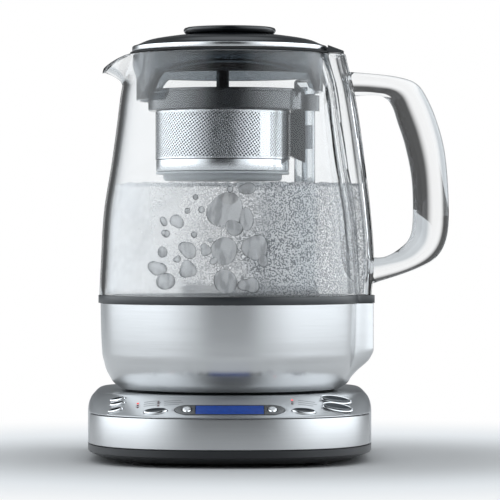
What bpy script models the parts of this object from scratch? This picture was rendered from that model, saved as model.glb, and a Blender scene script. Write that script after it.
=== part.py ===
"""Automatic tea maker: a glass jug with a steel foot on a power base, and a basket that rides on a post.

Metres, +Z up. The origin lies under the middle of the whole object, on the table.
Every piece is modelled around the jug's axis, and one empty carries them all to that origin.
"""

import math

import bmesh
import bpy
from mathutils import Matrix, Vector

# Clearances and steps that all pieces share
GAP = 0.0003            # clearance between two pieces that touch
CUT = 0.002             # how far a cutter runs past the face it cuts
ROUND_STEPS = 48        # steps round a large turned piece
SMALL_STEPS = 20        # steps round a small turned piece
OVAL_STEPS = 24         # steps round an oval button
BASE_STEPS = 56         # steps round the power base
COLUMN_STEPS = 14       # steps across the jug's column
BOWL_STEPS = 38         # steps round the rest of the jug
SMOOTH_ANGLE = math.radians(35)

# Power base
BASE_HALF_WIDTH = 0.0844
BASE_HALF_DEPTH = 0.104
BASE_AHEAD = 0.001      # the base's middle lies this far in front of the jug's axis
FRONT_POWER_SHARE = 2.75  # exponent of the outline in front: 2 is an ellipse, more is squarer
REAR_POWER_SHARE = 7.0
RUBBER_FOOT_RADIUS = 0.007
RUBBER_FOOT_HEIGHT = 0.0017
RUBBER_FOOT_EDGE = 0.0006
RUBBER_FOOT_X = 0.050
RUBBER_FOOT_INSET = 0.040  # from the base's front and rear edges
TRAY_HEIGHT = 0.0083
TRAY_CHAMFER_INSET = 0.010
TRAY_CHAMFER_HEIGHT = 0.0042
TRAY_FLOOR = 0.002
TRAY_LIP_HEIGHT = 0.0040
TRAY_WALL = 0.002
HOUSING_WALL = 0.002
HOUSING_HEIGHT = 0.0294
SHOULDER_INSET = 0.006
SHOULDER_STEPS = 6
FRONT_BAND_HEIGHT = 0.0176
FRONT_BAND_THICKNESS = 0.0015
FRONT_BAND_BACK = 0.040  # the steel front band ends this far in front of the base's middle
FRONT_BAND_SEAM = 0.0005
PANEL_LIP = 0.0005
PANEL_RUN = 0.033       # how far back the panel's slope reaches
PANEL_SINK_SHARES = (0.95, 0.33)  # an inner face lies this far down and back for each unit of depth
CASE_BOSS_RADIUS = 0.004
CASE_BOSS_X = 0.058
CASE_BOSS_INSET = 0.057  # from the base's front and rear edges
SCREW_RADIUS = 0.0013
SCREW_HEAD_RADIUS = 0.0031
SCREW_HEAD_HEIGHT = 0.0009
SCREW_LENGTH = 0.011
GLAND_RADIUS = 0.0052
GLAND_FLANGE_RADIUS = 0.0074
GLAND_FLANGE = 0.0018
GLAND_BORE_RADIUS = 0.0034
GLAND_LENGTH = 0.010

# Round power socket on the base and plug in the jug
SOCKET_RADIUS = 0.0162
SOCKET_HEIGHT = 0.012
SOCKET_HOLE_RADIUS = 0.0036
SOCKET_FLOOR = 0.002
SOCKET_EDGE = 0.0012
PLUG_CLEARANCE = 0.0006
PLUG_WALL = 0.0032
PLUG_ROOF = 0.003
PLUG_PIN_RADIUS = 0.0026
PLUG_PIN_END = 0.004    # the pin ends this far above the plug's mouth

# Control panel: places are (across, up the panel's slope from its lower edge)
CARRIER_THICKNESS = 0.0036
CARRIER_START_SHARE = 0.04  # the plates under the panel start this far up its slope
CARRIER_BACK = 0.051
BOARD_THICKNESS = 0.0016
CONTROL_TURN_SHARES = (0.43, 0.43, 0.60)  # how far small, oval and large buttons turn with the front's curve
BUTTON_PROUD = 0.0008
BUTTON_EDGE = 0.0005
BUTTON_TRAVEL = 0.0008
BUTTON_REST = 0.0016    # room above a button's flange, for the panel's curve
BUTTON_FLANGE = 0.0016
BUTTON_FLANGE_OUT = 0.0005
SMALL_BUTTON = (0.0052, 0.0022)
SMALL_BUTTON_PLACES = ((-0.0652, 0.0266), (-0.0650, 0.0194), (-0.0660, 0.0088))
OVAL_BUTTON = (0.0071, 0.0040)
OVAL_BUTTON_PLACES = ((-0.0425, 0.0092), (0.0425, 0.0092))
LARGE_BUTTON = (0.0092, 0.0042)
LARGE_BUTTON_PLACES = ((0.0620, 0.0130), (0.0615, 0.0257))
BUTTON_RING_WIDTH = 0.0008
BUTTON_RING_HEIGHT = 0.0006
BEZEL_HALF_LENGTH = 0.0316
BEZEL_HALF_HEIGHT = 0.0076
BEZEL_RISE = 0.0120
BEZEL_PROUD = 0.0002
DISPLAY_HALF_LENGTH = 0.0195
DISPLAY_HALF_HEIGHT = 0.0066
ROCKER = (0.0026, 0.0040)
ROCKER_X = 0.0245
ROCKER_PROUD = 0.0010
ROCKER_DEPTH = 0.0014
ROCKER_CLEARANCE = 0.0005
LIGHT_RADIUS = 0.0006
LIGHT_STEP = 0.0030
LIGHT_BAR_HALF_WIDTH = 0.0014
LIGHT_PROUD = 0.0002
LIGHT_SIDES = 12
BEZEL_STEPS = 8
LIGHT_PLACES = ((-0.0530, 0.0181), (-0.0411, 0.0215), (0.0360, 0.0246))

# Jug: a round bowl with a flat-faced column towards the handle
COLUMN_HALF_WIDTH = 0.015
COLUMN_FLAT_SHARE = 0.62
COLUMN_FOOT_SHARE = 1.25
FOOT_RADIUS = 0.0626
FOOT_THICKNESS = 0.0025
FOOT_STEP = 0.0009
FOOT_RIM_HEIGHT = 0.0032
FOOT_RIM_WALL = 0.002
SHELL_RADIUS = 0.0774
SHELL_COLUMN_REACH = 0.0859
SHELL_HEIGHT = 0.0509
SHELL_WALL = 0.0012
RING_RADIUS = 0.0787
RING_COLUMN_REACH = 0.0866
RING_HEIGHT = 0.0045
RING_WALL = 0.0069
RING_LEDGE = 0.004
RING_SPIGOT = 0.0024
GLASS_RADIUS = 0.0782
GLASS_COLUMN_REACH = 0.0849
GLASS_HEIGHT = 0.1439
GLASS_WALL = 0.003
SPOUT_REACH = 0.0142
SPOUT_DIP = 0.0104
SPOUT_DEPTH = 0.0194    # from the rim down to where the spout starts
SPOUT_HALF_ANGLE = math.radians(30)
SHELL_SHARES = (
    # height, radius, reach of the column
    (0.000, 0.839, 0.756),
    (0.060, 0.893, 0.813),
    (0.140, 0.928, 0.845),
    (0.220, 0.955, 0.890),
    (0.325, 0.974, 0.960),
    (0.390, 0.985, 0.985),
    (0.450, 0.988, 1.000),
    (0.570, 0.993, 1.000),
    (1.000, 1.000, 1.000),
)
GLASS_SHARES = (
    # height, radius, reach of the column
    (0.000, 1.000, 0.998),
    (0.130, 0.988, 1.015),
    (0.350, 0.963, 0.990),
    (0.540, 0.907, 0.952),
    (0.700, 0.866, 0.917),
    (0.865, 0.825, 0.869),
    (1.000, 0.763, 0.815),
)
GLASS_STEP_SHARES = (0.0, 0.13, 0.35, 0.54, 0.70, 0.865)
SPOUT_STEP_SHARES = (0.40, 0.70, 0.88, 1.0)

# Handle, as a loft of sections from the top root round to the lower root
HANDLE_REACH = 0.1313
HANDLE_HEIGHT = 0.1277   # from the lower root's foot to the top root's crown
HANDLE_FOOT = 0.0059     # the lower root's foot lies this far above the glass's lower edge
HANDLE_HALF_WIDTH = 0.0096
HANDLE_CHAMFER_SHARE = 0.22
HANDLE_FACE_SHARE = 0.70
HANDLE_ROOT_STEP = 0.0006
HANDLE_SHARES = (
    # outer point across, outer point up, inner point across, inner point up
    (0.668, 0.989, 0.661, 0.890),
    (0.773, 0.974, 0.709, 0.877),
    (0.850, 0.946, 0.742, 0.838),
    (0.897, 0.884, 0.768, 0.760),
    (0.945, 0.770, 0.801, 0.655),
    (0.983, 0.618, 0.831, 0.500),
    (1.000, 0.400, 0.837, 0.325),
    (0.994, 0.235, 0.822, 0.222),
    (0.948, 0.133, 0.770, 0.165),
    (0.850, 0.072, 0.705, 0.130),
)
HANDLE_ROOT_SHARES = ((1.000, 0.884), (0.000, 0.129))
HANDLE_SUBSTEPS = 3

# Inside the jug
HEATER_RADIUS = 0.0714
HEATER_THICKNESS = 0.003
ELEMENT_RADIUS = 0.044
ELEMENT_TUBE_RADIUS = 0.0033
PROBE_RADIUS = 0.004
PROBE_HEIGHT = 0.0045
PROBE_BACK = 0.030
POST_X = 0.045
POST_RADIUS = 0.0063
POST_WALL = 0.0010
POST_HEIGHT = 0.1292
POST_CROWN = 0.0015
SEAL_WIDTH = 0.0028
SEAL_HEIGHT = 0.003
MOTOR_RADIUS = 0.012
MOTOR_HEIGHT = 0.030
MOTOR_EDGE = 0.001
SCREW_SHAFT_RADIUS = 0.0018
SCREW_SHAFT_TOP_ROOM = 0.004
SCREW_SHAFT_CLEARANCE = 0.0007
SCREW_COLLAR_RADIUS = 0.004
SCREW_COLLAR_HEIGHT = 0.004
MAGNET_CLEARANCE = 0.0004
MAGNET_HEIGHT = 0.014

# Basket
BASKET_TRAVEL = 0.060
BASKET_X = -0.0042
BASKET_RADIUS = 0.0403
BASKET_WALL = 0.0008
BASKET_CUP_RADIUS = 0.0356
BASKET_CUP_HEIGHT = 0.0052
BASKET_CUP_FLOOR = 0.0015
BASKET_CUP_WALL = 0.0020
BASKET_CUP_FLANGE = 0.0014
BASKET_BAND_INSET = 0.0004
BASKET_BAND_HEIGHT = 0.0070
BASKET_BAND_WALL = 0.0012
BASKET_MESH_HEIGHT = 0.0287
RIM_X = -0.0018
RIM_RADIUS = 0.0476
RIM_HEIGHT = 0.0125
RIM_LEDGE = 0.0070
RIM_STEP = 0.0024
COLLAR_WALL = 0.0022
COLLAR_HEIGHT = 0.0094
POST_CLEARANCE = 0.0004
ARM_LENGTH = 0.031
ARM_WALL = 0.0019
ARM_HALF_WIDTH = 0.011
ARM_SLANT = 0.004
FOLLOWER_SIZE = (0.0050, 0.0026, 0.0140)
BASKET_LID_THICKNESS = 0.0028
BASKET_LID_TRAVEL = 0.010
STEM_RADIUS = 0.0038
STEM_FOOT_RADIUS = 0.0075
STEM_FOOT_HEIGHT = 0.002
STEM_HEIGHT = 0.0145
BASKET_DEPTH_BELOW_RIM = 0.0759   # from the glass rim down to the basket's underside

# Jug lid
LID_RADIUS = 0.0585
LID_SEAL_OVERHANG = 0.0012
LID_SEAL_HEIGHT = 0.0010
LID_BAND_HEIGHT = 0.0030
LID_BAND_WALL = 0.0032
DOME_EDGE_DROP = 0.0006
DOME_HEIGHT = 0.0068
DOME_WALL = 0.0016
DOME_SHARES = ((0.000, 0.0), (0.150, 0.49), (0.350, 0.81), (0.545, 1.0))
GRIP_RADIUS = 0.0276
GRIP_HEIGHT = 0.0042
GRIP_EDGE = 0.0012
SKIRT_RADIUS = 0.0560
SKIRT_WALL = 0.0022
SKIRT_HEIGHT = 0.0142
SPOUT_LEG_LENGTH = 0.0150
SPOUT_LEG_HALF_ANGLES = (math.radians(30), math.radians(47))
REAR_LEG_LENGTH = 0.0100
REAR_LEG_HALF_ANGLES = (math.radians(22), math.radians(34))
FILTER_HALF_ANGLE = math.radians(15)
FILTER_HEIGHT = 0.013
FILTER_WALL = 0.0008
FILTER_RISE = 0.0020
COVER_REACH = 0.0685
COVER_HALF_ANGLE = math.radians(13)
COVER_HEIGHT = 0.0048
COVER_EDGE_HEIGHT = 0.0016
COVER_STEPS = 8

# Heights that follow from the sizes above
TRAY_Z = RUBBER_FOOT_HEIGHT + GAP
HOUSING_Z = TRAY_Z + TRAY_HEIGHT + GAP
SEAT_Z = HOUSING_Z + HOUSING_HEIGHT
PANEL_EDGE_Z = HOUSING_Z + FRONT_BAND_HEIGHT + FRONT_BAND_SEAM
JUG_Z = SEAT_Z + GAP
SHELL_Z = JUG_Z + FOOT_STEP + GAP
RING_Z = SHELL_Z + SHELL_HEIGHT + GAP
GLASS_Z = RING_Z + RING_HEIGHT + GAP
RIM_Z = GLASS_Z + GLASS_HEIGHT
HEATER_Z = RING_Z + RING_HEIGHT - HEATER_THICKNESS - GAP
POST_Z = HEATER_Z + HEATER_THICKNESS + GAP
MOTOR_Z = JUG_Z + FOOT_THICKNESS + GAP
SHAFT_Z = MOTOR_Z + MOTOR_HEIGHT + GAP
BASKET_Z = RIM_Z - BASKET_DEPTH_BELOW_RIM
BASKET_BAND_Z = BASKET_Z + BASKET_CUP_HEIGHT + GAP
BASKET_MESH_Z = BASKET_BAND_Z + BASKET_BAND_HEIGHT + GAP
BASKET_RIM_Z = BASKET_MESH_Z + BASKET_MESH_HEIGHT + GAP
ARM_Z = BASKET_RIM_Z - GAP - ARM_LENGTH
BASKET_LID_Z = BASKET_RIM_Z + RIM_LEDGE + GAP
LID_SEAL_Z = RIM_Z + GAP
LID_BAND_Z = LID_SEAL_Z + LID_SEAL_HEIGHT + GAP
DOME_Z = LID_BAND_Z + LID_BAND_HEIGHT + GAP
GRIP_Z = DOME_Z + DOME_HEIGHT + GAP

FRONT_Y = -BASE_AHEAD - BASE_HALF_DEPTH
BACK_Y = BASE_HALF_DEPTH - BASE_AHEAD + GAP + GLAND_FLANGE
CARRIER_DEPTH = HOUSING_WALL + GAP
BOARD_DEPTH = CARRIER_DEPTH + CARRIER_THICKNESS + GAP

# Colours as (red, green, blue), with roughness and metallic value
FINISHES = {
    "black_gloss": ((0.012, 0.014, 0.016), 0.18, 0.0),
    "brushed_steel": ((0.62, 0.63, 0.64), 0.32, 1.0),
    "silver_case": ((0.55, 0.56, 0.57), 0.35, 0.9),
    "chrome": ((0.80, 0.81, 0.82), 0.08, 1.0),
    "dark_plastic": ((0.030, 0.033, 0.037), 0.35, 0.0),
    "smoke_plastic": ((0.055, 0.060, 0.066), 0.25, 0.0),
    "grey_plastic": ((0.085, 0.092, 0.100), 0.45, 0.0),
    "display_blue": ((0.020, 0.055, 0.400), 0.10, 0.0),
    "clear_glass": ((0.90, 0.93, 0.94), 0.02, 0.0),
    "rubber": ((0.020, 0.020, 0.020), 0.80, 0.0),
    "board_green": ((0.020, 0.120, 0.050), 0.50, 0.0),
    "copper": ((0.60, 0.30, 0.15), 0.40, 1.0),
    "magnet_steel": ((0.25, 0.25, 0.26), 0.40, 1.0),
    "light_lens": ((0.60, 0.05, 0.05), 0.20, 0.0),
}


# Helpers

def clear_scene():
    """Remove whatever the scene holds."""
    for old in list(bpy.data.objects):
        bpy.data.objects.remove(old, do_unlink=True)


def finish_of(name):
    """The material of one finish, made once."""
    found = bpy.data.materials.get(name)
    if found:
        return found
    colour, roughness, metallic = FINISHES[name]
    made = bpy.data.materials.new(name)
    made.use_nodes = True
    shader = made.node_tree.nodes["Principled BSDF"]
    shader.inputs["Base Color"].default_value = (*colour, 1.0)
    shader.inputs["Roughness"].default_value = roughness
    shader.inputs["Metallic"].default_value = metallic
    made.diffuse_color = (*colour, 1.0)
    return made


def place_empty(name, parent=None, location=(0.0, 0.0, 0.0)):
    """An empty that carries a group of pieces."""
    holder = bpy.data.objects.new(name, None)
    bpy.context.scene.collection.objects.link(holder)
    holder.parent = parent
    holder.location = location
    return holder


def add_object(name, bm, finish, parent, location=(0.0, 0.0, 0.0), frame=None):
    """Turn a closed bmesh into a smooth-shaded object under its parent, at a place or in a control's frame."""
    bmesh.ops.recalc_face_normals(bm, faces=bm.faces[:])
    mesh = bpy.data.meshes.new(name)
    bm.to_mesh(mesh)
    bm.free()
    mesh.materials.append(finish_of(finish))
    mesh.shade_smooth()
    mesh.set_sharp_from_angle(angle=SMOOTH_ANGLE)
    made = bpy.data.objects.new(name, mesh)
    bpy.context.scene.collection.objects.link(made)
    made.parent = parent
    made.location = location
    if frame:
        made.matrix_local = frame
    return made


def as_cutter(tool):
    """Mark an object as a guide that isn't a piece."""
    tool.hide_render = True
    tool.display_type = "WIRE"
    return tool


def combine(target, tool, operation):
    """Put a Boolean on the target."""
    as_cutter(tool)
    step = target.modifiers.new(tool.name, "BOOLEAN")
    step.operation = operation
    step.solver = "EXACT"
    step.object = tool
    return step


def skin(bm, rings, looped=False):
    """Cover a run of point rings with faces, capped at both ends or closed on itself."""
    loops = [[bm.verts.new(point) for point in ring] for ring in rings]
    pairs = list(zip(loops, loops[1:]))
    if looped:
        pairs.append((loops[-1], loops[0]))
    else:
        bm.faces.new(loops[0])
        bm.faces.new(loops[-1])
    for lower, upper in pairs:
        for index, point in enumerate(lower):
            after = (index + 1) % len(lower)
            bm.faces.new((point, lower[after], upper[after], upper[index]))
    return bm


def lofted(name, rings, finish, parent, looped=False, **placing):
    """A closed piece skinned over rings of points."""
    return add_object(name, skin(bmesh.new(), rings, looped), finish, parent, **placing)


def turned(name, profile, finish, parent, steps=ROUND_STEPS, location=(0.0, 0.0, 0.0)):
    """A turned piece: a profile of (radius, height) points spun round the vertical."""
    bm = bmesh.new()
    points = [bm.verts.new((radius, 0.0, height)) for radius, height in profile]
    edges = [bm.edges.new(pair) for pair in zip(points, points[1:])]
    if profile[0][0] > 0.0 or profile[-1][0] > 0.0:
        edges.append(bm.edges.new((points[-1], points[0])))
    bmesh.ops.spin(bm, geom=points + edges, axis=(0.0, 0.0, 1.0), cent=(0.0, 0.0, 0.0),
                   angle=math.tau, steps=steps, use_merge=True, use_duplicate=False)
    bmesh.ops.remove_doubles(bm, verts=bm.verts[:], dist=GAP / ROUND_STEPS)
    return add_object(name, bm, finish, parent, location=location)


def circle(radius, height, steps=ROUND_STEPS, centre=(0.0, 0.0)):
    """A level ring of points."""
    ring = []
    for index in range(steps):
        angle = math.tau * index / steps
        ring.append(Vector((centre[0] + radius * math.cos(angle), centre[1] + radius * math.sin(angle), height)))
    return ring


def oval(half_width, half_height, level):
    """An oval ring of points."""
    angles = [math.tau * index / OVAL_STEPS for index in range(OVAL_STEPS)]
    return [Vector((half_width * math.cos(angle), half_height * math.sin(angle), level)) for angle in angles]


def box_ring(half_length, half_height, level, centre=(0.0, 0.0)):
    """A rectangle of four points."""
    return [Vector((centre[0] + across * half_length, centre[1] + along * half_height, level))
            for across, along in ((-1, -1), (1, -1), (1, 1), (-1, 1))]


def cut_flat(bm, point, normal):
    """Cut away what lies beyond a plane, and close the cut."""
    everything = bm.verts[:] + bm.edges[:] + bm.faces[:]
    cut = bmesh.ops.bisect_plane(bm, geom=everything, plane_co=point, plane_no=normal, clear_outer=True)
    border = [item for item in cut["geom_cut"] if isinstance(item, bmesh.types.BMEdge)]
    bmesh.ops.edgenet_fill(bm, edges=border)


# The power base's outline and the frames of its controls

def outline(half_width, front_depth, rear_depth, height):
    """A level ring round the base: a rounded front half and a squarer rear half."""
    ring = []
    for index in range(BASE_STEPS):
        angle = math.tau * index / BASE_STEPS
        in_front = index > BASE_STEPS / 2
        power = 2.0 / (FRONT_POWER_SHARE if in_front else REAR_POWER_SHARE)
        depth = front_depth if in_front else rear_depth
        across = math.copysign(abs(math.cos(angle)) ** power, math.cos(angle))
        along = math.copysign(abs(math.sin(angle)) ** power, math.sin(angle))
        if index * 4 % BASE_STEPS == 0:
            across, along = round(math.cos(angle)), round(math.sin(angle))
        ring.append(Vector((half_width * across, depth * along - BASE_AHEAD, height)))
    return ring


def base_ring(inset, height):
    """The base's outline, drawn in by an inset."""
    return outline(BASE_HALF_WIDTH - inset, BASE_HALF_DEPTH - inset, BASE_HALF_DEPTH - inset, height)


def top_line(share, depth=0.0):
    """Half width, front depth, rear depth and height of a level line on the base's top.

    The share runs from 0 at the panel's lower edge to 1 at the flat deck.
    A depth gives the same line on an inner face that lies that far under the top.
    """
    inset = SHOULDER_INSET * (1.0 - math.sqrt(1.0 - share * share)) + depth
    sink, back = (depth * part for part in PANEL_SINK_SHARES)
    edge = PANEL_EDGE_Z + PANEL_LIP
    return (BASE_HALF_WIDTH - inset, BASE_HALF_DEPTH - PANEL_RUN * share - back, BASE_HALF_DEPTH - inset,
            edge + (SEAT_Z - edge) * share - sink)


def top_rings(depth=0.0, start=0.0):
    """Level rings up the base's top, from a start share to the deck, close together at the shoulder."""
    first = math.asin(start)
    rings = []
    for index in range(SHOULDER_STEPS + 1):
        share = math.sin(first + (0.5 * math.pi - first) * index / SHOULDER_STEPS)
        rings.append(outline(*top_line(share, depth)))
    return rings


def top_height(across, along):
    """Height of the base's top at a place in plan."""
    low, high = 0.0, 1.0
    for _ in range(BASE_STEPS):
        share = 0.5 * (low + high)
        half_width, front_depth, rear_depth, height = top_line(share)
        in_front = along < -BASE_AHEAD
        power = FRONT_POWER_SHARE if in_front else REAR_POWER_SHARE
        depth = front_depth if in_front else rear_depth
        reach = abs(across / half_width) ** power + abs((along + BASE_AHEAD) / depth) ** power
        low, high = (share, high) if reach < 1.0 else (low, share)
    return top_line(low)[3]


def control_frame(place, turn_share=0.0):
    """The frame of a control: its place on the panel, its across and up directions and the way it faces."""
    spot = on_panel(*place, 0.0)
    across, along = spot.x, spot.y
    slope_x = (top_height(across + GAP, along) - top_height(across - GAP, along)) / (2.0 * GAP)
    slope_y = (top_height(across, along + GAP) - top_height(across, along - GAP)) / (2.0 * GAP)
    facing = Vector((-slope_x, -slope_y, 1.0)).normalized()
    turn = turn_share * math.atan2(facing.x, -facing.y)
    wide = Vector((math.cos(turn), math.sin(turn), 0.0))
    wide = (wide - facing * wide.dot(facing)).normalized()
    frame = Matrix((wide, facing.cross(wide), facing)).transposed().to_4x4()
    frame.translation = spot
    return frame


def through(bm, frame, ring_of, low, high):
    """Add a straight-sided form to a bmesh, between two levels of a control's frame."""
    return skin(bm, [[frame @ point for point in ring_of(level)] for level in (low, high)])


def on_panel(across, rise, lift):
    """A point over the panel: a way across, a way up its slope from its lower edge, and a lift."""
    slope = math.hypot(PANEL_RUN, SEAT_Z - PANEL_EDGE_Z - PANEL_LIP)
    half_width, depth, _, height = top_line(rise / slope)
    along = depth * (1.0 - abs(across / half_width) ** FRONT_POWER_SHARE) ** (1.0 / FRONT_POWER_SHARE)
    return Vector((across, -BASE_AHEAD - along, height + lift))


def draped(bm, stations, low, high):
    """Add a slab that follows the panel's curve, given by (across, half height) stations."""
    corners = ((-1, low), (1, low), (1, high), (-1, high))
    return skin(bm, [[on_panel(across, BEZEL_RISE + side * half, lift) for side, lift in corners]
                     for across, half in stations])


def slot_stations(half_length, half_height):
    """Stations of a slab with straight long sides and half-round ends."""
    straight = half_length - half_height
    angles = [math.radians(degrees) for degrees in (10, 30, 50, 70)]
    end = [(straight + half_height * math.cos(angle), half_height * math.sin(angle)) for angle in angles]
    middle = [(straight * (1.0 - 2.0 * index / BEZEL_STEPS), half_height) for index in range(BEZEL_STEPS + 1)]
    return [(-across, half) for across, half in end] + middle[::-1] + end[::-1]


def box_stations(half_length, half_height):
    """Stations of a slab with square ends."""
    return [(half_length * (2.0 * index / BEZEL_STEPS - 1.0), half_height) for index in range(BEZEL_STEPS + 1)]


# Power base

def make_rubber_feet(parent):
    """Four round feet under the tray."""
    profile = [(0.0, 0.0), (RUBBER_FOOT_RADIUS - RUBBER_FOOT_EDGE, 0.0), (RUBBER_FOOT_RADIUS, RUBBER_FOOT_EDGE),
               (RUBBER_FOOT_RADIUS, RUBBER_FOOT_HEIGHT), (0.0, RUBBER_FOOT_HEIGHT)]
    corners = ((-1, -1), (1, -1), (-1, 1), (1, 1))
    for number, (side, end) in enumerate(corners, start=1):
        spot = (side * RUBBER_FOOT_X, end * (BASE_HALF_DEPTH - RUBBER_FOOT_INSET) - BASE_AHEAD, 0.0)
        turned(f"rubber_foot_{number}", profile, "rubber", parent, SMALL_STEPS, spot)


def case_screw_spots():
    """Where the four case screws stand."""
    corners = ((-1, -1), (1, -1), (-1, 1), (1, 1))
    behind = BASE_HALF_DEPTH - CASE_BOSS_INSET
    return [(side * CASE_BOSS_X, end * behind - BASE_AHEAD) for side, end in corners]


def make_tray(parent):
    """The black lower tray, with a lip inside the housing and four screw holes."""
    top = TRAY_Z + TRAY_HEIGHT
    lip = HOUSING_WALL + GAP
    inner = lip + TRAY_WALL
    floor = TRAY_Z + TRAY_FLOOR
    chamfer = TRAY_Z + TRAY_CHAMFER_HEIGHT
    rings = [base_ring(TRAY_CHAMFER_INSET, TRAY_Z),
             base_ring(0.1 * TRAY_CHAMFER_INSET, TRAY_Z + 0.76 * TRAY_CHAMFER_HEIGHT),
             base_ring(0.0, chamfer),
             base_ring(0.0, top),
             base_ring(lip, top),
             base_ring(lip, top + TRAY_LIP_HEIGHT),
             base_ring(inner, top + TRAY_LIP_HEIGHT),
             base_ring(inner, chamfer + 0.5 * TRAY_FLOOR),
             base_ring(TRAY_CHAMFER_INSET + 0.5 * TRAY_FLOOR, floor)]
    tray = lofted("base_tray", rings, "black_gloss", parent)
    bm = bmesh.new()
    for spot in case_screw_spots():
        head = SCREW_HEAD_RADIUS + GAP
        shank = SCREW_RADIUS + GAP
        seat = TRAY_Z + SCREW_HEAD_HEIGHT + GAP
        skin(bm, [circle(head, TRAY_Z - CUT, SMALL_STEPS, spot), circle(head, seat, SMALL_STEPS, spot),
                  circle(shank, seat, SMALL_STEPS, spot), circle(shank, floor + CUT, SMALL_STEPS, spot)])
    combine(tray, add_object("tray_holes", bm, "rubber", parent), "DIFFERENCE")


def make_case_screws(parent):
    """Four screws that hold the tray to the housing's bosses."""
    profile = [(0.0, 0.0), (SCREW_HEAD_RADIUS, 0.0), (SCREW_HEAD_RADIUS, SCREW_HEAD_HEIGHT),
               (SCREW_RADIUS, SCREW_HEAD_HEIGHT), (SCREW_RADIUS, SCREW_LENGTH), (0.0, SCREW_LENGTH)]
    for number, spot in enumerate(case_screw_spots(), start=1):
        turned(f"case_screw_{number}", profile, "chrome", parent, SMALL_STEPS, (*spot, TRAY_Z))


def make_housing(parent):
    """The top housing: side and back walls, the shoulder, the jug's seat and the sloping panel."""
    housing = lofted("top_housing", [base_ring(0.0, HOUSING_Z)] + top_rings(), "silver_case", parent)
    hollow = [base_ring(HOUSING_WALL, HOUSING_Z - CUT)] + top_rings(HOUSING_WALL)
    combine(housing, lofted("housing_hollow", hollow, "rubber", parent), "DIFFERENCE")

    front = bmesh.new()
    reach = BASE_HALF_WIDTH + CUT
    middle = (0.0, FRONT_Y - CUT)
    depth = BASE_HALF_DEPTH - FRONT_BAND_BACK + CUT
    skin(front, [box_ring(reach, depth, HOUSING_Z - CUT, middle), box_ring(reach, depth, PANEL_EDGE_Z, middle)])
    combine(housing, add_object("front_window", front, "rubber", parent), "DIFFERENCE")

    bosses = bmesh.new()
    holes = bmesh.new()
    boss_foot = TRAY_Z + TRAY_FLOOR + GAP
    for spot in case_screw_spots():
        skin(bosses, [circle(CASE_BOSS_RADIUS, boss_foot, SMALL_STEPS, spot),
                      circle(CASE_BOSS_RADIUS, SEAT_Z - 0.5 * HOUSING_WALL, SMALL_STEPS, spot)])
        skin(holes, [circle(SCREW_RADIUS + GAP, boss_foot - CUT, SMALL_STEPS, spot),
                     circle(SCREW_RADIUS + GAP, TRAY_Z + SCREW_LENGTH + GAP, SMALL_STEPS, spot)])
    combine(housing, add_object("screw_bosses", bosses, "rubber", parent), "UNION")
    combine(housing, add_object("boss_holes", holes, "rubber", parent), "DIFFERENCE")
    combine(housing, add_object("panel_holes", panel_openings(), "rubber", parent), "DIFFERENCE")
    combine(housing, gland_hole(parent), "DIFFERENCE")


def panel_openings():
    """Cutters for all that shows in the panel."""
    low = -HOUSING_WALL - CUT
    bm = bmesh.new()
    for half_width, half_height, frame in button_places():
        through(bm, frame, lambda level: oval(half_width + GAP, half_height + GAP, level), low, CUT)
    draped(bm, slot_stations(BEZEL_HALF_LENGTH + GAP, BEZEL_HALF_HEIGHT + GAP), low, CUT)
    for frame in light_frames():
        for step in (-1, 0, 1):
            spot = (0.0, step * LIGHT_STEP)
            through(bm, frame, lambda level: circle(LIGHT_RADIUS + GAP, level, LIGHT_SIDES, spot), low, CUT)
    return bm


def gland_hole(parent):
    """Cutter for the cord gland's hole in the back wall."""
    radius = GLAND_RADIUS + GAP
    rings = [circle(radius, -GLAND_LENGTH, SMALL_STEPS), circle(radius, CUT, SMALL_STEPS)]
    tool = lofted("gland_hole", rings, "rubber", parent, location=gland_spot())
    tool.rotation_euler = (math.radians(-90), 0.0, 0.0)
    return tool


def gland_spot():
    """Where the cord gland's axis meets the outside of the back wall."""
    return (0.0, BASE_HALF_DEPTH - BASE_AHEAD, HOUSING_Z + 0.6 * FRONT_BAND_HEIGHT)


def make_gland(parent):
    """The cord gland: a flanged bush in the back wall."""
    profile = [(GLAND_BORE_RADIUS, GAP - GLAND_LENGTH), (GLAND_RADIUS, GAP - GLAND_LENGTH), (GLAND_RADIUS, GAP),
               (GLAND_FLANGE_RADIUS, GAP), (GLAND_FLANGE_RADIUS, GAP + GLAND_FLANGE),
               (GLAND_BORE_RADIUS, GAP + GLAND_FLANGE)]
    gland = turned("cord_gland", profile, "dark_plastic", parent, SMALL_STEPS, gland_spot())
    gland.rotation_euler = (math.radians(-90), 0.0, 0.0)


def make_front_band(parent):
    """The brushed steel band round the base's front."""
    low = HOUSING_Z
    high = HOUSING_Z + FRONT_BAND_HEIGHT
    bm = skin(bmesh.new(), [base_ring(0.0, low), base_ring(0.0, high), base_ring(FRONT_BAND_THICKNESS, high),
                            base_ring(FRONT_BAND_THICKNESS, low)], looped=True)
    everything = bm.verts[:] + bm.edges[:] + bm.faces[:]
    end = Vector((0.0, -BASE_AHEAD - FRONT_BAND_BACK - GAP, 0.0))
    bmesh.ops.bisect_plane(bm, geom=everything, plane_co=end, plane_no=(0.0, 1.0, 0.0), clear_outer=True)
    bmesh.ops.holes_fill(bm, edges=bm.edges[:], sides=0)
    add_object("steel_front_band", bm, "brushed_steel", parent)


def make_socket(parent):
    """The round power socket that stands in the middle of the seat."""
    top = JUG_Z + SOCKET_HEIGHT
    profile = [(0.0, JUG_Z), (SOCKET_RADIUS, JUG_Z), (SOCKET_RADIUS, top - SOCKET_EDGE),
               (SOCKET_RADIUS - SOCKET_EDGE, top), (SOCKET_HOLE_RADIUS, top),
               (SOCKET_HOLE_RADIUS, JUG_Z + SOCKET_FLOOR), (0.0, JUG_Z + SOCKET_FLOOR)]
    turned("power_socket", profile, "dark_plastic", parent, SMALL_STEPS)


# Control panel

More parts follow.
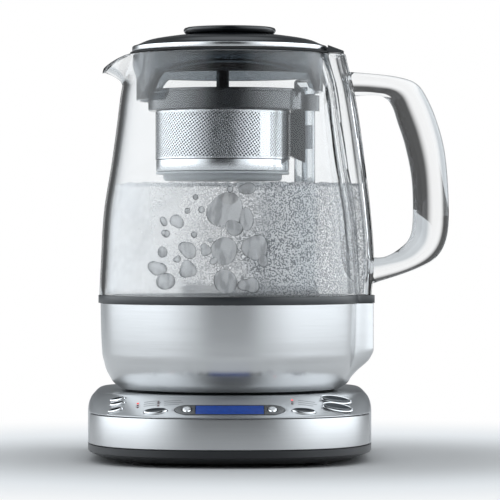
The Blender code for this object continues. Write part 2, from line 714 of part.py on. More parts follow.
def button_places():
    """Half width, half height and frame of each of the seven push buttons."""
    kinds = ((SMALL_BUTTON, SMALL_BUTTON_PLACES), (OVAL_BUTTON, OVAL_BUTTON_PLACES),
             (LARGE_BUTTON, LARGE_BUTTON_PLACES))
    return [(*size, control_frame(place, turn_share))
            for (size, places), turn_share in zip(kinds, CONTROL_TURN_SHARES) for place in places]


def light_frames():
    """The frame of each column of indicator lights."""
    return [control_frame(place) for place in LIGHT_PLACES]


def panel_plate(depth, thickness):
    """A plate under the sloping panel that follows the base's curve, open in the middle and at the back."""
    upper = top_rings(depth, CARRIER_START_SHARE)
    lower = top_rings(depth + thickness, CARRIER_START_SHARE)
    bm = skin(bmesh.new(), upper + lower[::-1], looped=True)
    everything = bm.verts[:] + bm.edges[:] + bm.faces[:]
    end = Vector((0.0, FRONT_Y + CARRIER_BACK, 0.0))
    bmesh.ops.bisect_plane(bm, geom=everything, plane_co=end, plane_no=(0.0, 1.0, 0.0), clear_outer=True)
    bmesh.ops.holes_fill(bm, edges=bm.edges[:], sides=0)
    return bm


def make_carrier(parent):
    """The plate that holds the buttons under the panel."""
    plate = panel_plate(CARRIER_DEPTH, CARRIER_THICKNESS)
    carrier = add_object("button_carrier", plate, "dark_plastic", parent)
    low = -CARRIER_DEPTH - CARRIER_THICKNESS - CUT
    bm = bmesh.new()
    for half_width, half_height, frame in button_places():
        size = (half_width + BUTTON_FLANGE_OUT + GAP, half_height + BUTTON_FLANGE_OUT + GAP)
        through(bm, frame, lambda level: oval(*size, level), low, CUT)
    for frame in light_frames():
        size = (LIGHT_BAR_HALF_WIDTH + GAP, LIGHT_STEP + LIGHT_BAR_HALF_WIDTH + GAP)
        through(bm, frame, lambda level: box_ring(*size, level), low, CUT)
    combine(carrier, add_object("carrier_holes", bm, "rubber", parent), "DIFFERENCE")


def make_board(parent):
    """The circuit board under the button carrier."""
    add_object("control_board", panel_plate(BOARD_DEPTH, BOARD_THICKNESS), "board_green", parent)


def make_button(name, place, parent, finish):
    """A push button: an oval cap through the panel, on a wider flange below it."""
    half_width, half_height, frame = place
    flange_top = -HOUSING_WALL - BUTTON_REST
    flange = (half_width + BUTTON_FLANGE_OUT, half_height + BUTTON_FLANGE_OUT)
    cap = (half_width - GAP, half_height - GAP)
    crown = (cap[0] - BUTTON_EDGE, cap[1] - BUTTON_EDGE)
    rings = [oval(*flange, flange_top - BUTTON_FLANGE), oval(*flange, flange_top), oval(*cap, flange_top),
             oval(*cap, BUTTON_PROUD - BUTTON_EDGE), oval(*crown, BUTTON_PROUD)]
    lofted(name, rings, finish, parent, frame=frame)


def make_buttons(parent):
    """All seven push buttons."""
    names = ("small_button_1", "small_button_2", "small_button_3", "oval_button_left", "oval_button_right",
             "large_button_lower", "large_button_upper")
    for name, place in zip(names, button_places()):
        make_button(name, place, parent, "chrome" if name.startswith("small") else "smoke_plastic")


def make_button_rings(parent):
    """Bright rings round the two large buttons."""
    names = ("large_button_lower_ring", "large_button_upper_ring")
    for name, (half_width, half_height, frame) in zip(names, button_places()[-2:]):
        inner = (half_width + GAP, half_height + GAP)
        outer = (inner[0] + BUTTON_RING_WIDTH, inner[1] + BUTTON_RING_WIDTH)
        top = GAP + BUTTON_RING_HEIGHT
        rings = [oval(*outer, GAP), oval(*outer, top), oval(*inner, top), oval(*inner, GAP)]
        lofted(name, rings, "chrome", parent, looped=True, frame=frame)


def make_bezel(parent):
    """The display's surround, with a window and two rocker holes."""
    stations = slot_stations(BEZEL_HALF_LENGTH, BEZEL_HALF_HEIGHT)
    bezel = add_object("display_bezel", draped(bmesh.new(), stations, -HOUSING_WALL, BEZEL_PROUD),
                       "smoke_plastic", parent)
    bm = bmesh.new()
    low = -HOUSING_WALL - CUT
    draped(bm, box_stations(DISPLAY_HALF_LENGTH + GAP, DISPLAY_HALF_HEIGHT + GAP), low, CUT)
    hole = (ROCKER[0] + ROCKER_CLEARANCE, ROCKER[1] + ROCKER_CLEARANCE)
    for _, frame in rocker_places():
        through(bm, frame, lambda level: oval(*hole, level), low, CUT)
    combine(bezel, add_object("bezel_holes", bm, "rubber", parent), "DIFFERENCE")


def make_display(parent):
    """The lit display window in the bezel."""
    stations = box_stations(DISPLAY_HALF_LENGTH, DISPLAY_HALF_HEIGHT)
    add_object("display_window", draped(bmesh.new(), stations, -HOUSING_WALL, 0.5 * BEZEL_PROUD),
               "display_blue", parent)


def rocker_places():
    """Name and frame of the two rockers beside the display."""
    return [(name, control_frame((side * ROCKER_X, BEZEL_RISE)))
            for name, side in (("rocker_left", -1), ("rocker_right", 1))]


def make_rockers(parent):
    """Two rockers that tilt about their own middles."""
    half_width, half_height = ROCKER
    rings = [oval(half_width, half_height, -ROCKER_DEPTH),
             oval(half_width, half_height, ROCKER_PROUD - BUTTON_EDGE),
             oval(half_width - BUTTON_EDGE, half_height - BUTTON_EDGE, ROCKER_PROUD)]
    for name, frame in rocker_places():
        lofted(name, rings, "chrome", parent, frame=frame)


def make_light_pipes(parent):
    """Three clear bars under the panel, each with three lenses that come through it."""
    names = ("light_pipe_left", "light_pipe_middle", "light_pipe_right")
    top = -CARRIER_DEPTH - GAP
    foot = -CARRIER_DEPTH - CARRIER_THICKNESS
    for name, frame in zip(names, light_frames()):
        size = (LIGHT_BAR_HALF_WIDTH, LIGHT_STEP + LIGHT_BAR_HALF_WIDTH)
        bar = lofted(name, [box_ring(*size, foot), box_ring(*size, top)], "light_lens", parent, frame=frame)
        lenses = bmesh.new()
        for step in (-1, 0, 1):
            spot = (0.0, step * LIGHT_STEP)
            skin(lenses, [circle(LIGHT_RADIUS, 0.5 * (foot + top), LIGHT_SIDES, spot),
                          circle(LIGHT_RADIUS, LIGHT_PROUD, LIGHT_SIDES, spot)])
        combine(bar, add_object(name + "_lenses", lenses, "rubber", parent, frame=frame), "UNION")


# The jug's outline

def falling(value, start, end):
    """1 before start, 0 after end, and a smooth fall between them."""
    share = min(max((value - start) / (end - start), 0.0), 1.0)
    return 1.0 - share * share * (3.0 - 2.0 * share)


def column_angle(radius):
    """Half the angle that the column takes on a bowl of this radius."""
    return math.asin(COLUMN_HALF_WIDTH / radius)


def jug_angles():
    """Angles round the jug, close together across the column."""
    edge = COLUMN_FOOT_SHARE * column_angle(GLASS_SHARES[-1][1] * GLASS_RADIUS)
    angles = [edge * (2.0 * index / COLUMN_STEPS - 1.0) for index in range(COLUMN_STEPS)]
    rest = math.tau - 2.0 * edge
    angles += [edge + rest * index / BOWL_STEPS for index in range(BOWL_STEPS)]
    return angles


def plan_radius(angle, radius, reach):
    """Distance from the axis to the jug's outline: a circle with a flat-faced column at +X."""
    around = math.remainder(angle, math.tau)
    edge = column_angle(radius)
    share = falling(abs(around), COLUMN_FLAT_SHARE * edge, COLUMN_FOOT_SHARE * edge)
    if share == 0.0 or reach <= radius:
        return radius
    return radius + (reach / math.cos(around) - radius) * share


def between(shares, height, column):
    """Read a column of a share table at a height share."""
    for low, high in zip(shares, shares[1:]):
        if height <= high[0]:
            part = (height - low[0]) / (high[0] - low[0])
            return low[column] + (high[column] - low[column]) * part
    return shares[-1][column]


def spout_share(angle):
    """How much of the spout an angle has: 1 at the spout's middle, 0 beyond its sides."""
    off = abs(math.remainder(angle - math.pi, math.tau))
    if off >= SPOUT_HALF_ANGLE:
        return 0.0
    return math.cos(0.5 * math.pi * off / SPOUT_HALF_ANGLE) ** 2


def glass_wall(angle, step):
    """Radius and height of the glass's outer face at an angle and a step up the wall."""
    spout_start = GLASS_HEIGHT - SPOUT_DEPTH
    if step < len(GLASS_STEP_SHARES):
        height = GLASS_STEP_SHARES[step] * GLASS_HEIGHT
        pull = 0.0
    else:
        climb = SPOUT_STEP_SHARES[step - len(GLASS_STEP_SHARES)]
        lip = GLASS_HEIGHT - SPOUT_DIP * spout_share(angle) ** 2
        height = spout_start + (lip - spout_start) * climb
        pull = SPOUT_REACH * spout_share(angle) * climb ** 2
    share = height / GLASS_HEIGHT
    radius = GLASS_RADIUS * between(GLASS_SHARES, share, 1)
    reach = GLASS_COLUMN_REACH * between(GLASS_SHARES, share, 2)
    return plan_radius(angle, radius, reach) + pull, GLASS_Z + height


def shell_wall(angle, step):
    """Radius and height of the steel shell's outer face at an angle and a step up the wall."""
    height, radius, reach = SHELL_SHARES[step]
    outer = plan_radius(angle, SHELL_RADIUS * radius, SHELL_COLUMN_REACH * reach)
    return outer, SHELL_Z + SHELL_HEIGHT * height


def wall_rings(wall_face, steps, thickness, level_top):
    """Rings up the outer face and down the inner face of a wall of even thickness."""
    outer = []
    inner = []
    for step in range(steps):
        outer_ring = []
        inner_ring = []
        for angle in jug_angles():
            radius, height = wall_face(angle, step)
            low = wall_face(angle, max(step - 1, 0))
            high = wall_face(angle, min(step + 1, steps - 1))
            run = Vector((high[0] - low[0], high[1] - low[1])).normalized()
            back = radius - thickness * run.y
            level = height + thickness * run.x
            if step == 0 or (level_top and step == steps - 1):
                level = height
            direction = Vector((math.cos(angle), math.sin(angle), 0.0))
            outer_ring.append(direction * radius + Vector((0.0, 0.0, height)))
            inner_ring.append(direction * back + Vector((0.0, 0.0, level)))
        outer.append(outer_ring)
        inner.append(inner_ring)
    return outer + inner[::-1]


# Jug

def make_glass_jug(parent):
    """The glass jug: an open wall with a spout at the left and a column towards the handle."""
    steps = len(GLASS_STEP_SHARES) + len(SPOUT_STEP_SHARES)
    lofted("glass_jug", wall_rings(glass_wall, steps, GLASS_WALL, False), "clear_glass", parent, looped=True)


def make_steel_shell(parent):
    """The brushed steel lower shell."""
    lofted("steel_lower_shell", wall_rings(shell_wall, len(SHELL_SHARES), SHELL_WALL, True), "brushed_steel",
           parent, looped=True)


def make_joint_ring(parent):
    """The dark ring between glass and steel, with a ledge for the heater plate."""
    inner = RING_RADIUS - RING_WALL
    spigot = SHELL_RADIUS - SHELL_WALL - GAP
    plate_seat = HEATER_Z - GAP
    foot = RING_Z - RING_SPIGOT
    top = RING_Z + RING_HEIGHT

    def jug_ring(radius, reach, height):
        ring = []
        for angle in jug_angles():
            distance = plan_radius(angle, radius, reach)
            ring.append(Vector((distance * math.cos(angle), distance * math.sin(angle), height)))
        return ring

    rings = [jug_ring(RING_RADIUS, RING_COLUMN_REACH, RING_Z), jug_ring(RING_RADIUS, RING_COLUMN_REACH, top),
             jug_ring(inner, inner, top), jug_ring(inner, inner, plate_seat),
             jug_ring(inner - RING_LEDGE, inner, plate_seat), jug_ring(inner - RING_LEDGE, inner, foot),
             jug_ring(spigot, spigot, foot), jug_ring(spigot, spigot, RING_Z)]
    lofted("joint_ring", rings, "dark_plastic", parent, looped=True)


def make_jug_foot(parent):
    """The jug's dark foot: a ring-shaped plate with a rim inside the shell."""
    top = JUG_Z + FOOT_THICKNESS
    hole = SOCKET_RADIUS + PLUG_CLEARANCE + PLUG_WALL + GAP
    rim = FOOT_RADIUS + FOOT_STEP - SHELL_WALL
    profile = [(hole, JUG_Z), (FOOT_RADIUS, JUG_Z), (FOOT_RADIUS + FOOT_STEP, JUG_Z + FOOT_STEP),
               (rim, JUG_Z + FOOT_STEP), (rim, top + FOOT_RIM_HEIGHT),
               (rim - FOOT_RIM_WALL, top + FOOT_RIM_HEIGHT), (rim - FOOT_RIM_WALL, top), (hole, top)]
    turned("jug_foot", profile, "black_gloss", parent)


def make_jug_plug(parent):
    """The round plug in the jug's foot that drops over the socket."""
    inner = SOCKET_RADIUS + PLUG_CLEARANCE
    outer = inner + PLUG_WALL
    roof = JUG_Z + SOCKET_HEIGHT + PLUG_CLEARANCE
    pin_end = JUG_Z + PLUG_PIN_END
    profile = [(0.0, pin_end), (PLUG_PIN_RADIUS, pin_end), (PLUG_PIN_RADIUS, roof), (inner, roof), (inner, JUG_Z),
               (outer, JUG_Z), (outer, roof + PLUG_ROOF), (0.0, roof + PLUG_ROOF)]
    turned("jug_plug", profile, "dark_plastic", parent, SMALL_STEPS)


def make_heater(parent):
    """The steel floor of the jug, with a hole for the lead screw, and its heating element."""
    top = HEATER_Z + HEATER_THICKNESS
    plate = turned("heater_plate", [(0.0, HEATER_Z), (HEATER_RADIUS, HEATER_Z), (HEATER_RADIUS, top), (0.0, top)],
                   "brushed_steel", parent)
    hole = SCREW_SHAFT_RADIUS + SCREW_SHAFT_CLEARANCE
    rings = [circle(hole, HEATER_Z - CUT, SMALL_STEPS), circle(hole, top + CUT, SMALL_STEPS)]
    combine(plate, lofted("shaft_hole", rings, "rubber", parent, location=(POST_X, 0.0, 0.0)), "DIFFERENCE")

    level = HEATER_Z - GAP - ELEMENT_TUBE_RADIUS
    profile = []
    for index in range(8):
        angle = math.tau * index / 8
        profile.append((ELEMENT_RADIUS + ELEMENT_TUBE_RADIUS * math.sin(angle),
                        level + ELEMENT_TUBE_RADIUS * math.cos(angle)))
    element = turned("heating_element", profile, "copper", parent)
    gap_tool = bmesh.new()
    reach = MOTOR_RADIUS + SCREW_COLLAR_RADIUS
    low = level - ELEMENT_TUBE_RADIUS - CUT
    skin(gap_tool, [box_ring(reach, reach, low, (POST_X, 0.0)), box_ring(reach, reach, HEATER_Z + CUT, (POST_X, 0.0))])
    combine(element, add_object("element_gap", gap_tool, "rubber", parent), "DIFFERENCE")


def make_probe(parent):
    """The temperature probe on the jug's floor."""
    top = POST_Z + PROBE_HEIGHT
    profile = [(0.0, POST_Z), (PROBE_RADIUS, POST_Z), (PROBE_RADIUS, top - GLAND_FLANGE),
               (PROBE_RADIUS - GLAND_FLANGE, top), (0.0, top)]
    turned("temperature_probe", profile, "brushed_steel", parent, SMALL_STEPS, (0.0, PROBE_BACK, 0.0))


def make_post(parent):
    """The post that the basket rides on: a closed tube over the lead screw, with a seal at its foot."""
    top = POST_Z + POST_HEIGHT
    inner = POST_RADIUS - POST_WALL
    roof = top - POST_WALL
    profile = [(inner, POST_Z), (POST_RADIUS, POST_Z), (POST_RADIUS, top - POST_CROWN),
               (POST_RADIUS - POST_CROWN, top), (0.0, top), (0.0, roof), (inner, roof)]
    bm_profile = profile[4:] + profile[:5]
    turned("lift_post", bm_profile[1:], "brushed_steel", parent, SMALL_STEPS, (POST_X, 0.0, 0.0))
    low = POST_RADIUS + GAP
    turned("post_seal", [(low, POST_Z), (low + SEAL_WIDTH, POST_Z), (low, POST_Z + SEAL_HEIGHT)], "rubber", parent,
           SMALL_STEPS, (POST_X, 0.0, 0.0))


def make_lift_drive(parent, shaft_axis):
    """The lift motor, the lead screw it turns, and the magnet that the screw moves inside the post."""
    top = MOTOR_Z + MOTOR_HEIGHT
    motor = [(0.0, MOTOR_Z), (MOTOR_RADIUS, MOTOR_Z), (MOTOR_RADIUS, top - MOTOR_EDGE),
             (MOTOR_RADIUS - MOTOR_EDGE, top), (0.0, top)]
    turned("lift_motor", motor, "magnet_steel", parent, SMALL_STEPS, (POST_X, 0.0, 0.0))

    end = POST_Z + POST_HEIGHT - POST_WALL - SCREW_SHAFT_TOP_ROOM
    collar = SHAFT_Z + SCREW_COLLAR_HEIGHT
    shaft = [(0.0, SHAFT_Z), (SCREW_COLLAR_RADIUS, SHAFT_Z), (SCREW_COLLAR_RADIUS, collar),
             (SCREW_SHAFT_RADIUS, collar), (SCREW_SHAFT_RADIUS, end), (0.0, end)]
    turned("lead_screw", shaft, "chrome", shaft_axis, SMALL_STEPS)

    bore = SCREW_SHAFT_RADIUS + MAGNET_CLEARANCE
    outer = POST_RADIUS - POST_WALL - MAGNET_CLEARANCE
    low = follower_height()
    high = low + MAGNET_HEIGHT
    turned("drive_magnet", [(bore, low), (outer, low), (outer, high), (bore, high)], "magnet_steel", shaft_axis,
           SMALL_STEPS)


# Handle

def smooth_between(before, start, end, after, share):
    """A point on a smooth curve through start and end, shaped by the points beside them."""
    square = share * share
    cube = square * share
    return 0.5 * ((2.0 * start) + (end - before) * share + (2.0 * before - 5.0 * start + 4.0 * end - after) * square
                  + (3.0 * start - before - 3.0 * end + after) * cube)


def handle_sections():
    """Pairs of outer and inner points along the handle, from the top root to the lower root."""
    foot = GLASS_Z + HANDLE_FOOT
    points = []
    for row in HANDLE_SHARES:
        outer = Vector((HANDLE_REACH * row[0], 0.0, foot + HANDLE_HEIGHT * row[1]))
        inner = Vector((HANDLE_REACH * row[2], 0.0, foot + HANDLE_HEIGHT * row[3]))
        points.append((outer, inner))
    top_root, low_root = (root_section(outer, inner) for outer, inner in HANDLE_ROOT_SHARES)
    points = [top_root] + points + [low_root]
    sections = [points[0]]
    for index in range(len(points) - 1):
        near = (points[max(index - 1, 0)], points[index], points[index + 1], points[min(index + 2, len(points) - 1)])
        for substep in range(1, HANDLE_SUBSTEPS + 1):
            share = substep / HANDLE_SUBSTEPS
            sections.append(tuple(smooth_between(*(pair[side] for pair in near), share) for side in (0, 1)))
    return sections


def root_section(outer, inner):
    """Where a root meets the column: two points just off the glass at two height shares of the handle."""
    points = []
    for share in (outer, inner):
        height = HANDLE_FOOT + HANDLE_HEIGHT * share
        reach = GLASS_COLUMN_REACH * between(GLASS_SHARES, height / GLASS_HEIGHT, 2)
        points.append(Vector((reach + HANDLE_ROOT_STEP, 0.0, GLASS_Z + height)))
    return points


def make_handle(parent):
    """The clear handle, with chamfered edges."""
    face = HANDLE_FACE_SHARE * HANDLE_HALF_WIDTH
    deep = 1.0 - HANDLE_CHAMFER_SHARE
    corners = ((0.0, -face), (HANDLE_CHAMFER_SHARE, -HANDLE_HALF_WIDTH), (deep, -HANDLE_HALF_WIDTH), (1.0, -face),
               (1.0, face), (deep, HANDLE_HALF_WIDTH), (HANDLE_CHAMFER_SHARE, HANDLE_HALF_WIDTH), (0.0, face))
    rings = []
    for outer, inner in handle_sections():
        rings.append([inner.lerp(outer, share) + Vector((0.0, side, 0.0)) for share, side in corners])
    lofted("jug_handle", rings, "clear_glass", parent)


# Basket

def follower_height():
    """Height of the lower end of the magnets, level with each other in the arm and the post."""
    return ARM_Z + 0.5 * (ARM_LENGTH - MAGNET_HEIGHT)


def make_basket_body(parent):
    """The mesh cylinder, the plain band under it and the cup that closes it."""
    spot = (BASKET_X, 0.0, 0.0)
    outer = BASKET_RADIUS
    inner = outer - BASKET_WALL
    high = BASKET_MESH_Z + BASKET_MESH_HEIGHT
    turned("basket_mesh", [(inner, BASKET_MESH_Z), (outer, BASKET_MESH_Z), (outer, high), (inner, high)],
           "brushed_steel", parent, ROUND_STEPS, spot)
    outer = BASKET_RADIUS - BASKET_BAND_INSET
    inner = outer - BASKET_BAND_WALL
    high = BASKET_BAND_Z + BASKET_BAND_HEIGHT
    turned("basket_lower_band", [(inner, BASKET_BAND_Z), (outer, BASKET_BAND_Z), (outer, high), (inner, high)],
           "brushed_steel", parent, ROUND_STEPS, spot)
    top = BASKET_Z + BASKET_CUP_HEIGHT
    cup = BASKET_CUP_RADIUS
    flange = outer
    profile = [(0.0, BASKET_Z), (cup, BASKET_Z), (cup, top - BASKET_CUP_FLANGE), (flange, top - BASKET_CUP_FLANGE),
               (flange, top), (cup - BASKET_CUP_WALL, top), (cup - BASKET_CUP_WALL, BASKET_Z + BASKET_CUP_FLOOR),
               (0.0, BASKET_Z + BASKET_CUP_FLOOR)]
    turned("basket_base_cup", profile, "grey_plastic", parent, ROUND_STEPS, spot)


def make_basket_rim(parent):
    """The basket's rim, with a collar that slides on the post."""
    top = BASKET_RIM_Z + RIM_HEIGHT
    ledge = BASKET_RIM_Z + RIM_LEDGE
    wide = BASKET_RADIUS + GAP
    narrow = BASKET_RADIUS - RIM_STEP
    rings = [circle(RIM_RADIUS, BASKET_RIM_Z, centre=(RIM_X, 0.0)), circle(RIM_RADIUS, top, centre=(RIM_X, 0.0)),
             circle(wide, top, centre=(BASKET_X, 0.0)), circle(wide, ledge, centre=(BASKET_X, 0.0)),
             circle(narrow, ledge, centre=(BASKET_X, 0.0)), circle(narrow, BASKET_RIM_Z, centre=(BASKET_X, 0.0))]
    rim = lofted("basket_rim", rings, "grey_plastic", parent, looped=True)
    bore = POST_RADIUS + POST_CLEARANCE
    collar = [circle(bore + COLLAR_WALL, BASKET_RIM_Z, SMALL_STEPS, (POST_X, 0.0)),
              circle(bore + COLLAR_WALL, BASKET_RIM_Z + COLLAR_HEIGHT, SMALL_STEPS, (POST_X, 0.0))]
    clearance = [circle(wide, BASKET_RIM_Z - CUT, centre=(BASKET_X, 0.0)),
                 circle(wide, top + CUT, centre=(BASKET_X, 0.0))]
    collar_tool = lofted("rim_collar", collar, "rubber", parent)
    combine(collar_tool, lofted("collar_clearance", clearance, "rubber", parent), "DIFFERENCE")
    combine(rim, collar_tool, "UNION")
    hole = [circle(bore, BASKET_RIM_Z - CUT, SMALL_STEPS, (POST_X, 0.0)),
            circle(bore, top + CUT, SMALL_STEPS, (POST_X, 0.0))]
    combine(rim, lofted("rim_post_hole", hole, "rubber", parent), "DIFFERENCE")


def make_basket_arm(parent):
    """The arm along the post: a block with a half-round groove, a slanted foot and two magnets."""
    bore = POST_RADIUS + POST_CLEARANCE
    left = POST_X - bore - ARM_WALL
    middle = 0.5 * (left + POST_X)
    half = 0.5 * (POST_X - left)
    top = ARM_Z + ARM_LENGTH
    bm = skin(bmesh.new(), [box_ring(half, ARM_HALF_WIDTH, ARM_Z, (middle, 0.0)),
                            box_ring(half, ARM_HALF_WIDTH, top, (middle, 0.0))])
    cut_flat(bm, Vector((left, 0.0, ARM_Z + ARM_SLANT)), Vector((-ARM_SLANT, 0.0, -2.0 * half)))
    arm = add_object("basket_arm", bm, "grey_plastic", parent)
    groove = [circle(bore, ARM_Z - CUT, SMALL_STEPS, (POST_X, 0.0)), circle(bore, top + CUT, SMALL_STEPS, (POST_X, 0.0))]
    combine(arm, lofted("arm_groove", groove, "rubber", parent), "DIFFERENCE")

    length, width, height = FOLLOWER_SIZE
    low = follower_height()
    across = 0.5 * (bore + ARM_HALF_WIDTH)
    pockets = bmesh.new()
    for name, side in (("follower_magnet_front", -1), ("follower_magnet_back", 1)):
        spot = (POST_X - 0.5 * length, side * across)
        lofted(name, [box_ring(0.5 * length, 0.5 * width, low, spot), box_ring(0.5 * length, 0.5 * width, low + height, spot)],
               "magnet_steel", parent)
        pocket = (POST_X - 0.5 * length + 0.5 * CUT, side * across)
        size = (0.5 * length + 0.5 * CUT + GAP, 0.5 * width + GAP)
        skin(pockets, [box_ring(*size, low - GAP, pocket), box_ring(*size, low + height + GAP, pocket)])
    combine(arm, add_object("magnet_pockets", pockets, "rubber", parent), "DIFFERENCE")


def make_basket_lid(parent):
    """The basket's lid with its stem."""
    top = BASKET_LID_Z + BASKET_LID_THICKNESS
    foot = top + STEM_FOOT_HEIGHT
    profile = [(0.0, BASKET_LID_Z), (BASKET_RADIUS - GAP, BASKET_LID_Z), (BASKET_RADIUS - GAP, top),
               (STEM_FOOT_RADIUS, top), (STEM_RADIUS, foot), (STEM_RADIUS, top + STEM_HEIGHT), (0.0, top + STEM_HEIGHT)]
    turned("basket_lid", profile, "smoke_plastic", parent, ROUND_STEPS, (BASKET_X, 0.0, 0.0))


# Jug lid

def make_lid_band(parent):
    """The lid's seal and its steel band."""
    neck = SKIRT_RADIUS + GAP
    top = LID_SEAL_Z + LID_SEAL_HEIGHT
    outer = LID_RADIUS + LID_SEAL_OVERHANG
    turned("lid_seal", [(neck, LID_SEAL_Z), (outer, LID_SEAL_Z), (outer, top), (neck, top)], "rubber", parent)
    inner = LID_RADIUS - LID_BAND_WALL
    high = LID_BAND_Z + LID_BAND_HEIGHT
    turned("lid_band", [(inner, LID_BAND_Z), (LID_RADIUS, LID_BAND_Z), (LID_RADIUS, high), (inner, high)],
           "brushed_steel", parent)


def make_lid_dome(parent):
    """The lid's dark dome, a shell that sits on the band."""
    edge = LID_RADIUS - DOME_EDGE_DROP
    outer = [(edge * (1.0 - share), DOME_Z + DOME_HEIGHT * rise) for share, rise in DOME_SHARES]
    inner = [(radius - DOME_WALL, max(height - DOME_WALL, DOME_Z)) for radius, height in outer]
    profile = [(0.0, outer[-1][1])] + outer[::-1] + inner + [(0.0, inner[-1][1])]
    turned("lid_dome", profile, "smoke_plastic", parent)


def make_lid_grip(parent):
    """The round grip on top of the dome."""
    top = GRIP_Z + GRIP_HEIGHT
    profile = [(0.0, GRIP_Z), (GRIP_RADIUS - GRIP_EDGE, GRIP_Z), (GRIP_RADIUS, GRIP_Z + GRIP_EDGE),
               (GRIP_RADIUS, top - GRIP_EDGE), (GRIP_RADIUS - GRIP_EDGE, top), (0.0, top)]
    turned("lid_grip", profile, "black_gloss", parent)


def make_lid_skirt(parent):
    """The skirt under the lid, with a leg at the spout and a leg at the post."""
    top = LID_BAND_Z - GAP
    rings = [[], [], [], []]
    for index in range(ROUND_STEPS):
        angle = math.tau * index / ROUND_STEPS
        rear = abs(math.remainder(angle, math.tau))
        front = abs(math.remainder(angle - math.pi, math.tau))
        low = top - SKIRT_HEIGHT
        low -= SPOUT_LEG_LENGTH * falling(front, *SPOUT_LEG_HALF_ANGLES)
        low -= REAR_LEG_LENGTH * falling(rear, *REAR_LEG_HALF_ANGLES)
        direction = Vector((math.cos(angle), math.sin(angle), 0.0))
        outer = direction * SKIRT_RADIUS
        inner = direction * (SKIRT_RADIUS - SKIRT_WALL)
        for ring, base, height in zip(rings, (outer, outer, inner, inner), (low, top, top, low)):
            ring.append(base + Vector((0.0, 0.0, height)))
    lofted("lid_skirt", rings, "smoke_plastic", parent, looped=True)


def sector(name, radii, heights, half_angle, steps, finish, parent, middle=0.0):
    """A curved bar: a four-cornered section carried round the axis through an angle."""
    rings = []
    for index in range(steps + 1):
        angle = middle + half_angle * (2.0 * index / steps - 1.0)
        direction = Vector((math.cos(angle), math.sin(angle), 0.0))
        rings.append([direction * radius + Vector((0.0, 0.0, height)) for radius, height in zip(radii, heights)])
    return lofted(name, rings, finish, parent)


def make_spout_filter(parent):
    """The fine filter on the inside of the spout leg."""
    outer = SKIRT_RADIUS - SKIRT_WALL - GAP
    low = LID_BAND_Z - GAP - SKIRT_HEIGHT - SPOUT_LEG_LENGTH + FILTER_RISE
    high = low + FILTER_HEIGHT
    sector("spout_filter", (outer - FILTER_WALL, outer, outer, outer - FILTER_WALL), (low, low, high, high),
           FILTER_HALF_ANGLE, COVER_STEPS, "brushed_steel", parent, middle=math.pi)


def make_rear_cover(parent):
    """The lid's rear cover over the top of the column."""
    inner = LID_RADIUS + LID_SEAL_OVERHANG + GAP
    low = RIM_Z + GAP
    sector("lid_rear_cover", (inner, COVER_REACH, COVER_REACH, inner),
           (low, low, low + COVER_EDGE_HEIGHT, low + COVER_HEIGHT), COVER_HALF_ANGLE, COVER_STEPS, "smoke_plastic", parent)


# Assembly

def main():
    clear_scene()
    middle_x = 0.5 * (HANDLE_REACH - BASE_HALF_WIDTH)
    middle_y = 0.5 * (FRONT_Y + BACK_Y)
    appliance = place_empty("tea_maker", None, (-middle_x, -middle_y, 0.0))
    panel = place_empty("control_panel", appliance)
    jug = place_empty("jug", appliance)
    shaft_axis = place_empty("shaft_axis", jug, (POST_X, 0.0, 0.0))
    basket = place_empty("basket", jug)
    basket_cover = place_empty("basket_cover", basket)
    lid = place_empty("lid", jug)

    make_rubber_feet(appliance)
    make_tray(appliance)
    make_case_screws(appliance)
    make_housing(appliance)
    make_front_band(appliance)
    make_gland(appliance)
    make_socket(appliance)
    make_carrier(appliance)
    make_board(appliance)
    make_bezel(panel)
    make_display(panel)
    make_light_pipes(panel)
    make_button_rings(panel)
    make_buttons(panel)
    make_rockers(panel)

    make_jug_foot(jug)
    make_jug_plug(jug)
    make_steel_shell(jug)
    make_joint_ring(jug)
    make_glass_jug(jug)
    make_handle(jug)
    make_heater(jug)
    make_probe(jug)
    make_post(jug)
    make_lift_drive(jug, shaft_axis)

    make_basket_body(basket)
    make_basket_rim(basket)
    make_basket_arm(basket)
    make_basket_lid(basket_cover)

    make_lid_band(lid)
    make_lid_dome(lid)
    make_lid_grip(lid)
    make_lid_skirt(lid)
    make_spout_filter(lid)
    make_rear_cover(lid)


main()
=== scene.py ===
"""Looks of an automatic tea maker: a glass jug on a power base, with a tea basket on a post inside it.

Each piece has an operator of its own, listed in the sidebar of the 3D view. Sizes are metres, and every
piece is modelled round the jug's own axis and then set on the frame.
"""

import math
import random

import bmesh
import bpy
from bpy.props import FloatProperty, FloatVectorProperty, IntProperty, PointerProperty
from bpy.types import Operator, Panel, PropertyGroup
from mathutils import Matrix, Vector


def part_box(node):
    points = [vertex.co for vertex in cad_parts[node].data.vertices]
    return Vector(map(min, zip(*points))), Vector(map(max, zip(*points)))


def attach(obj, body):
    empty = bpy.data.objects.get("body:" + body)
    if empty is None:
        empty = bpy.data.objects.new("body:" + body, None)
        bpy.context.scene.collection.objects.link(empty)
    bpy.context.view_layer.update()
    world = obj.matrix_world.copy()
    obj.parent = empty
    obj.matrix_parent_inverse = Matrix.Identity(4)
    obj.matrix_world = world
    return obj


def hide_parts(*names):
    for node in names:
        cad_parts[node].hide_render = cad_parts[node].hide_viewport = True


bl_info = {
    "name": "Automatic Tea Maker",
    "version": (1, 0, 0),
    "blender": (4, 5, 0),
    "location": "3D View > Sidebar > Tea Maker",
    "description": "Builds the pieces, finishes and studio of a glass tea maker",
    "category": "Object",
}

